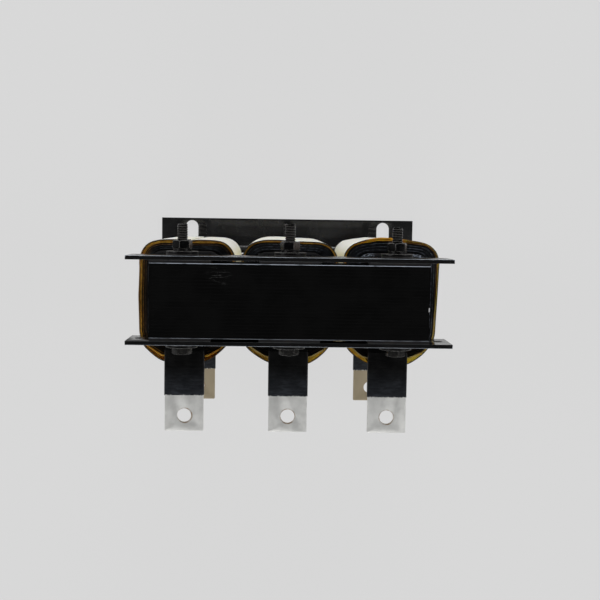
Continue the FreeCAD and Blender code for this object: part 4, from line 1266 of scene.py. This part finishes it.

# The lower bars get painted shade: their tin is painted darker and yellower.
low_bar_shade = along("Z", 170, 80)
skin = mixed(times(low_bar_shade, 0.92), skin, tone(144, 131, 106))
HOLE = {}
for coil in COILS:
    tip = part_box(f"{coil}_start_lead")
    ring = [v.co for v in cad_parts[f"{coil}_start_lead"].data.vertices
            if v.co.y < tip[0].y + 22 * MM
            and abs(v.co.x - (tip[0].x + tip[1].x) / 2) < 9 * MM]
    HOLE[coil] = sum(ring, Vector()) / len(ring) / MM
print("hole middles", {coil: [round(v, 1) for v in spot] for coil, spot in HOLE.items()})
hole_x = maths("SUBTRACT", across_coil(),
               times(maths("GREATER_THAN", axis("X"), COIL_PITCH / 2), LEAD_SHIFT["right"]))
from_hole = distance(hole_x, maths("SUBTRACT", axis("Y"), HOLE["left"].y))
copper_rim = times(ramp(from_hole, 6.3, 5.8), ramp(grain(0.3, detail=4), 0.35, 0.6, 0.3, 1.0))
skin = mixed(copper_rim, skin, tone(138, 118, 96))
varnished = along("Y", -60, -52)
skin = mixed(varnished, skin, grey(3))
feed(Base_Color=skin, Specular_IOR_Level=ramp(varnished, 0, 1, 0.5, 0.05),
     Metallic=ramp(varnished, 0, 1, 0.4, 0), Roughness=ramp(clouds, 0.3, 0.75, 0.42, 0.55),
     Normal=relief(cross, 0.012, 0.5))

# %% Finish of the shrunk sleeve
rubber = new_finish("shrink_sleeve", Specular_IOR_Level=0.12)
creases = grain(0.75, detail=5, stretch=(0.22, 1, 0.22), rough=0.6)
sheen_and_gloss_blotch = grain(0.12, detail=4)
# The sleeve is painted bluish grey in blotches as a painted sheen, and darker in the creases as painted
# shade.
shade = mottled(sheen_and_gloss_blotch, 0.35, 0.7, tone(34, 36, 40), tone(44, 47, 52))
shade = mottled(creases, 0.42, 0.62, shade, tone(26, 28, 32))
# Towards the coil it keeps its own black, so the painted sheen shows towards the bare end.
near_coil = along("Y", -79, -52)
shade = mixed(near_coil, shade, grey(3))
frayed = times(along("Y", -76.2, -76.9), ramp(grain(0.9, detail=4, stretch=(1, 0.3, 1)), 0.5, 0.6))
shade = mixed(frayed, shade, tone(190, 190, 188))
feed(Base_Color=shade, Roughness=ramp(sheen_and_gloss_blotch, 0.3, 0.7, 0.36, 0.5),
     Normal=relief(creases, 0.25, 1.0))

cut_end = new_finish("sleeve_cut_end", Roughness=0.6)
torn = grain(1.3, detail=5)
feed(Base_Color=mottled(torn, 0.35, 0.6, tone(90, 92, 96), tone(206, 206, 206)))

# %% Ease the bars and shrink the sleeves on
for number, coil in enumerate(COILS):
    for which in ("start", "finish"):
        node = f"{coil}_{which}_lead"
        bar = ease(merged_copy(node, f"{coil}_{which}_bar"), 0.2, rows=2, angle=40)
        hand_in(bar, "tinned_copper", tin, node)
        node = f"{coil}_{which}_sleeve"
        low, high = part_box(node)
        slim = Vector((0.32 * MM, 0, 0.25 * MM))
        sleeve = add_block(f"{coil}_{which}_shrunk_sleeve", low + slim, high - slim)
        edit(sleeve)
        pick(sleeve, "edges", lambda e: abs(e.verts[0].co.y - e.verts[1].co.y) > 5 * MM)
        bpy.ops.mesh.bevel(offset=1.1 * MM, segments=4, affect="EDGES")
        pick(sleeve, "faces", lambda f: abs(f.normal.y) > 0.9)
        bpy.ops.mesh.delete(type="ONLY_FACE")
        rows = int((high.y - low.y) / (0.5 * MM))
        pick(sleeve, "edges", lambda e: abs(e.verts[0].co.y - e.verts[1].co.y) > 5 * MM)
        bpy.ops.mesh.subdivide(number_cuts=rows)
        done()
        middle_z = (low.z + high.z) / 2
        for vertex in sleeve.data.vertices:
            here = Vector((vertex.co.x / MM * 0.05, vertex.co.y / MM * 0.55, number * 3.0))
            pull = 0.07 * MM * (noise.noise(here) - 0.75)
            vertex.co.z += pull if vertex.co.z > middle_z else -pull
        use(sleeve, "SOLIDIFY", thickness=0.28 * MM, offset=-1)
        smooth(sleeve, 50)
        hand_in(sleeve, "shrink_sleeve", rubber, node)
        sleeve.data.materials.append(cut_end)
        for face in sleeve.data.polygons:
            if face.normal.y < -0.9:
                face.material_index = 1
print("6 bars and 6 sleeves")
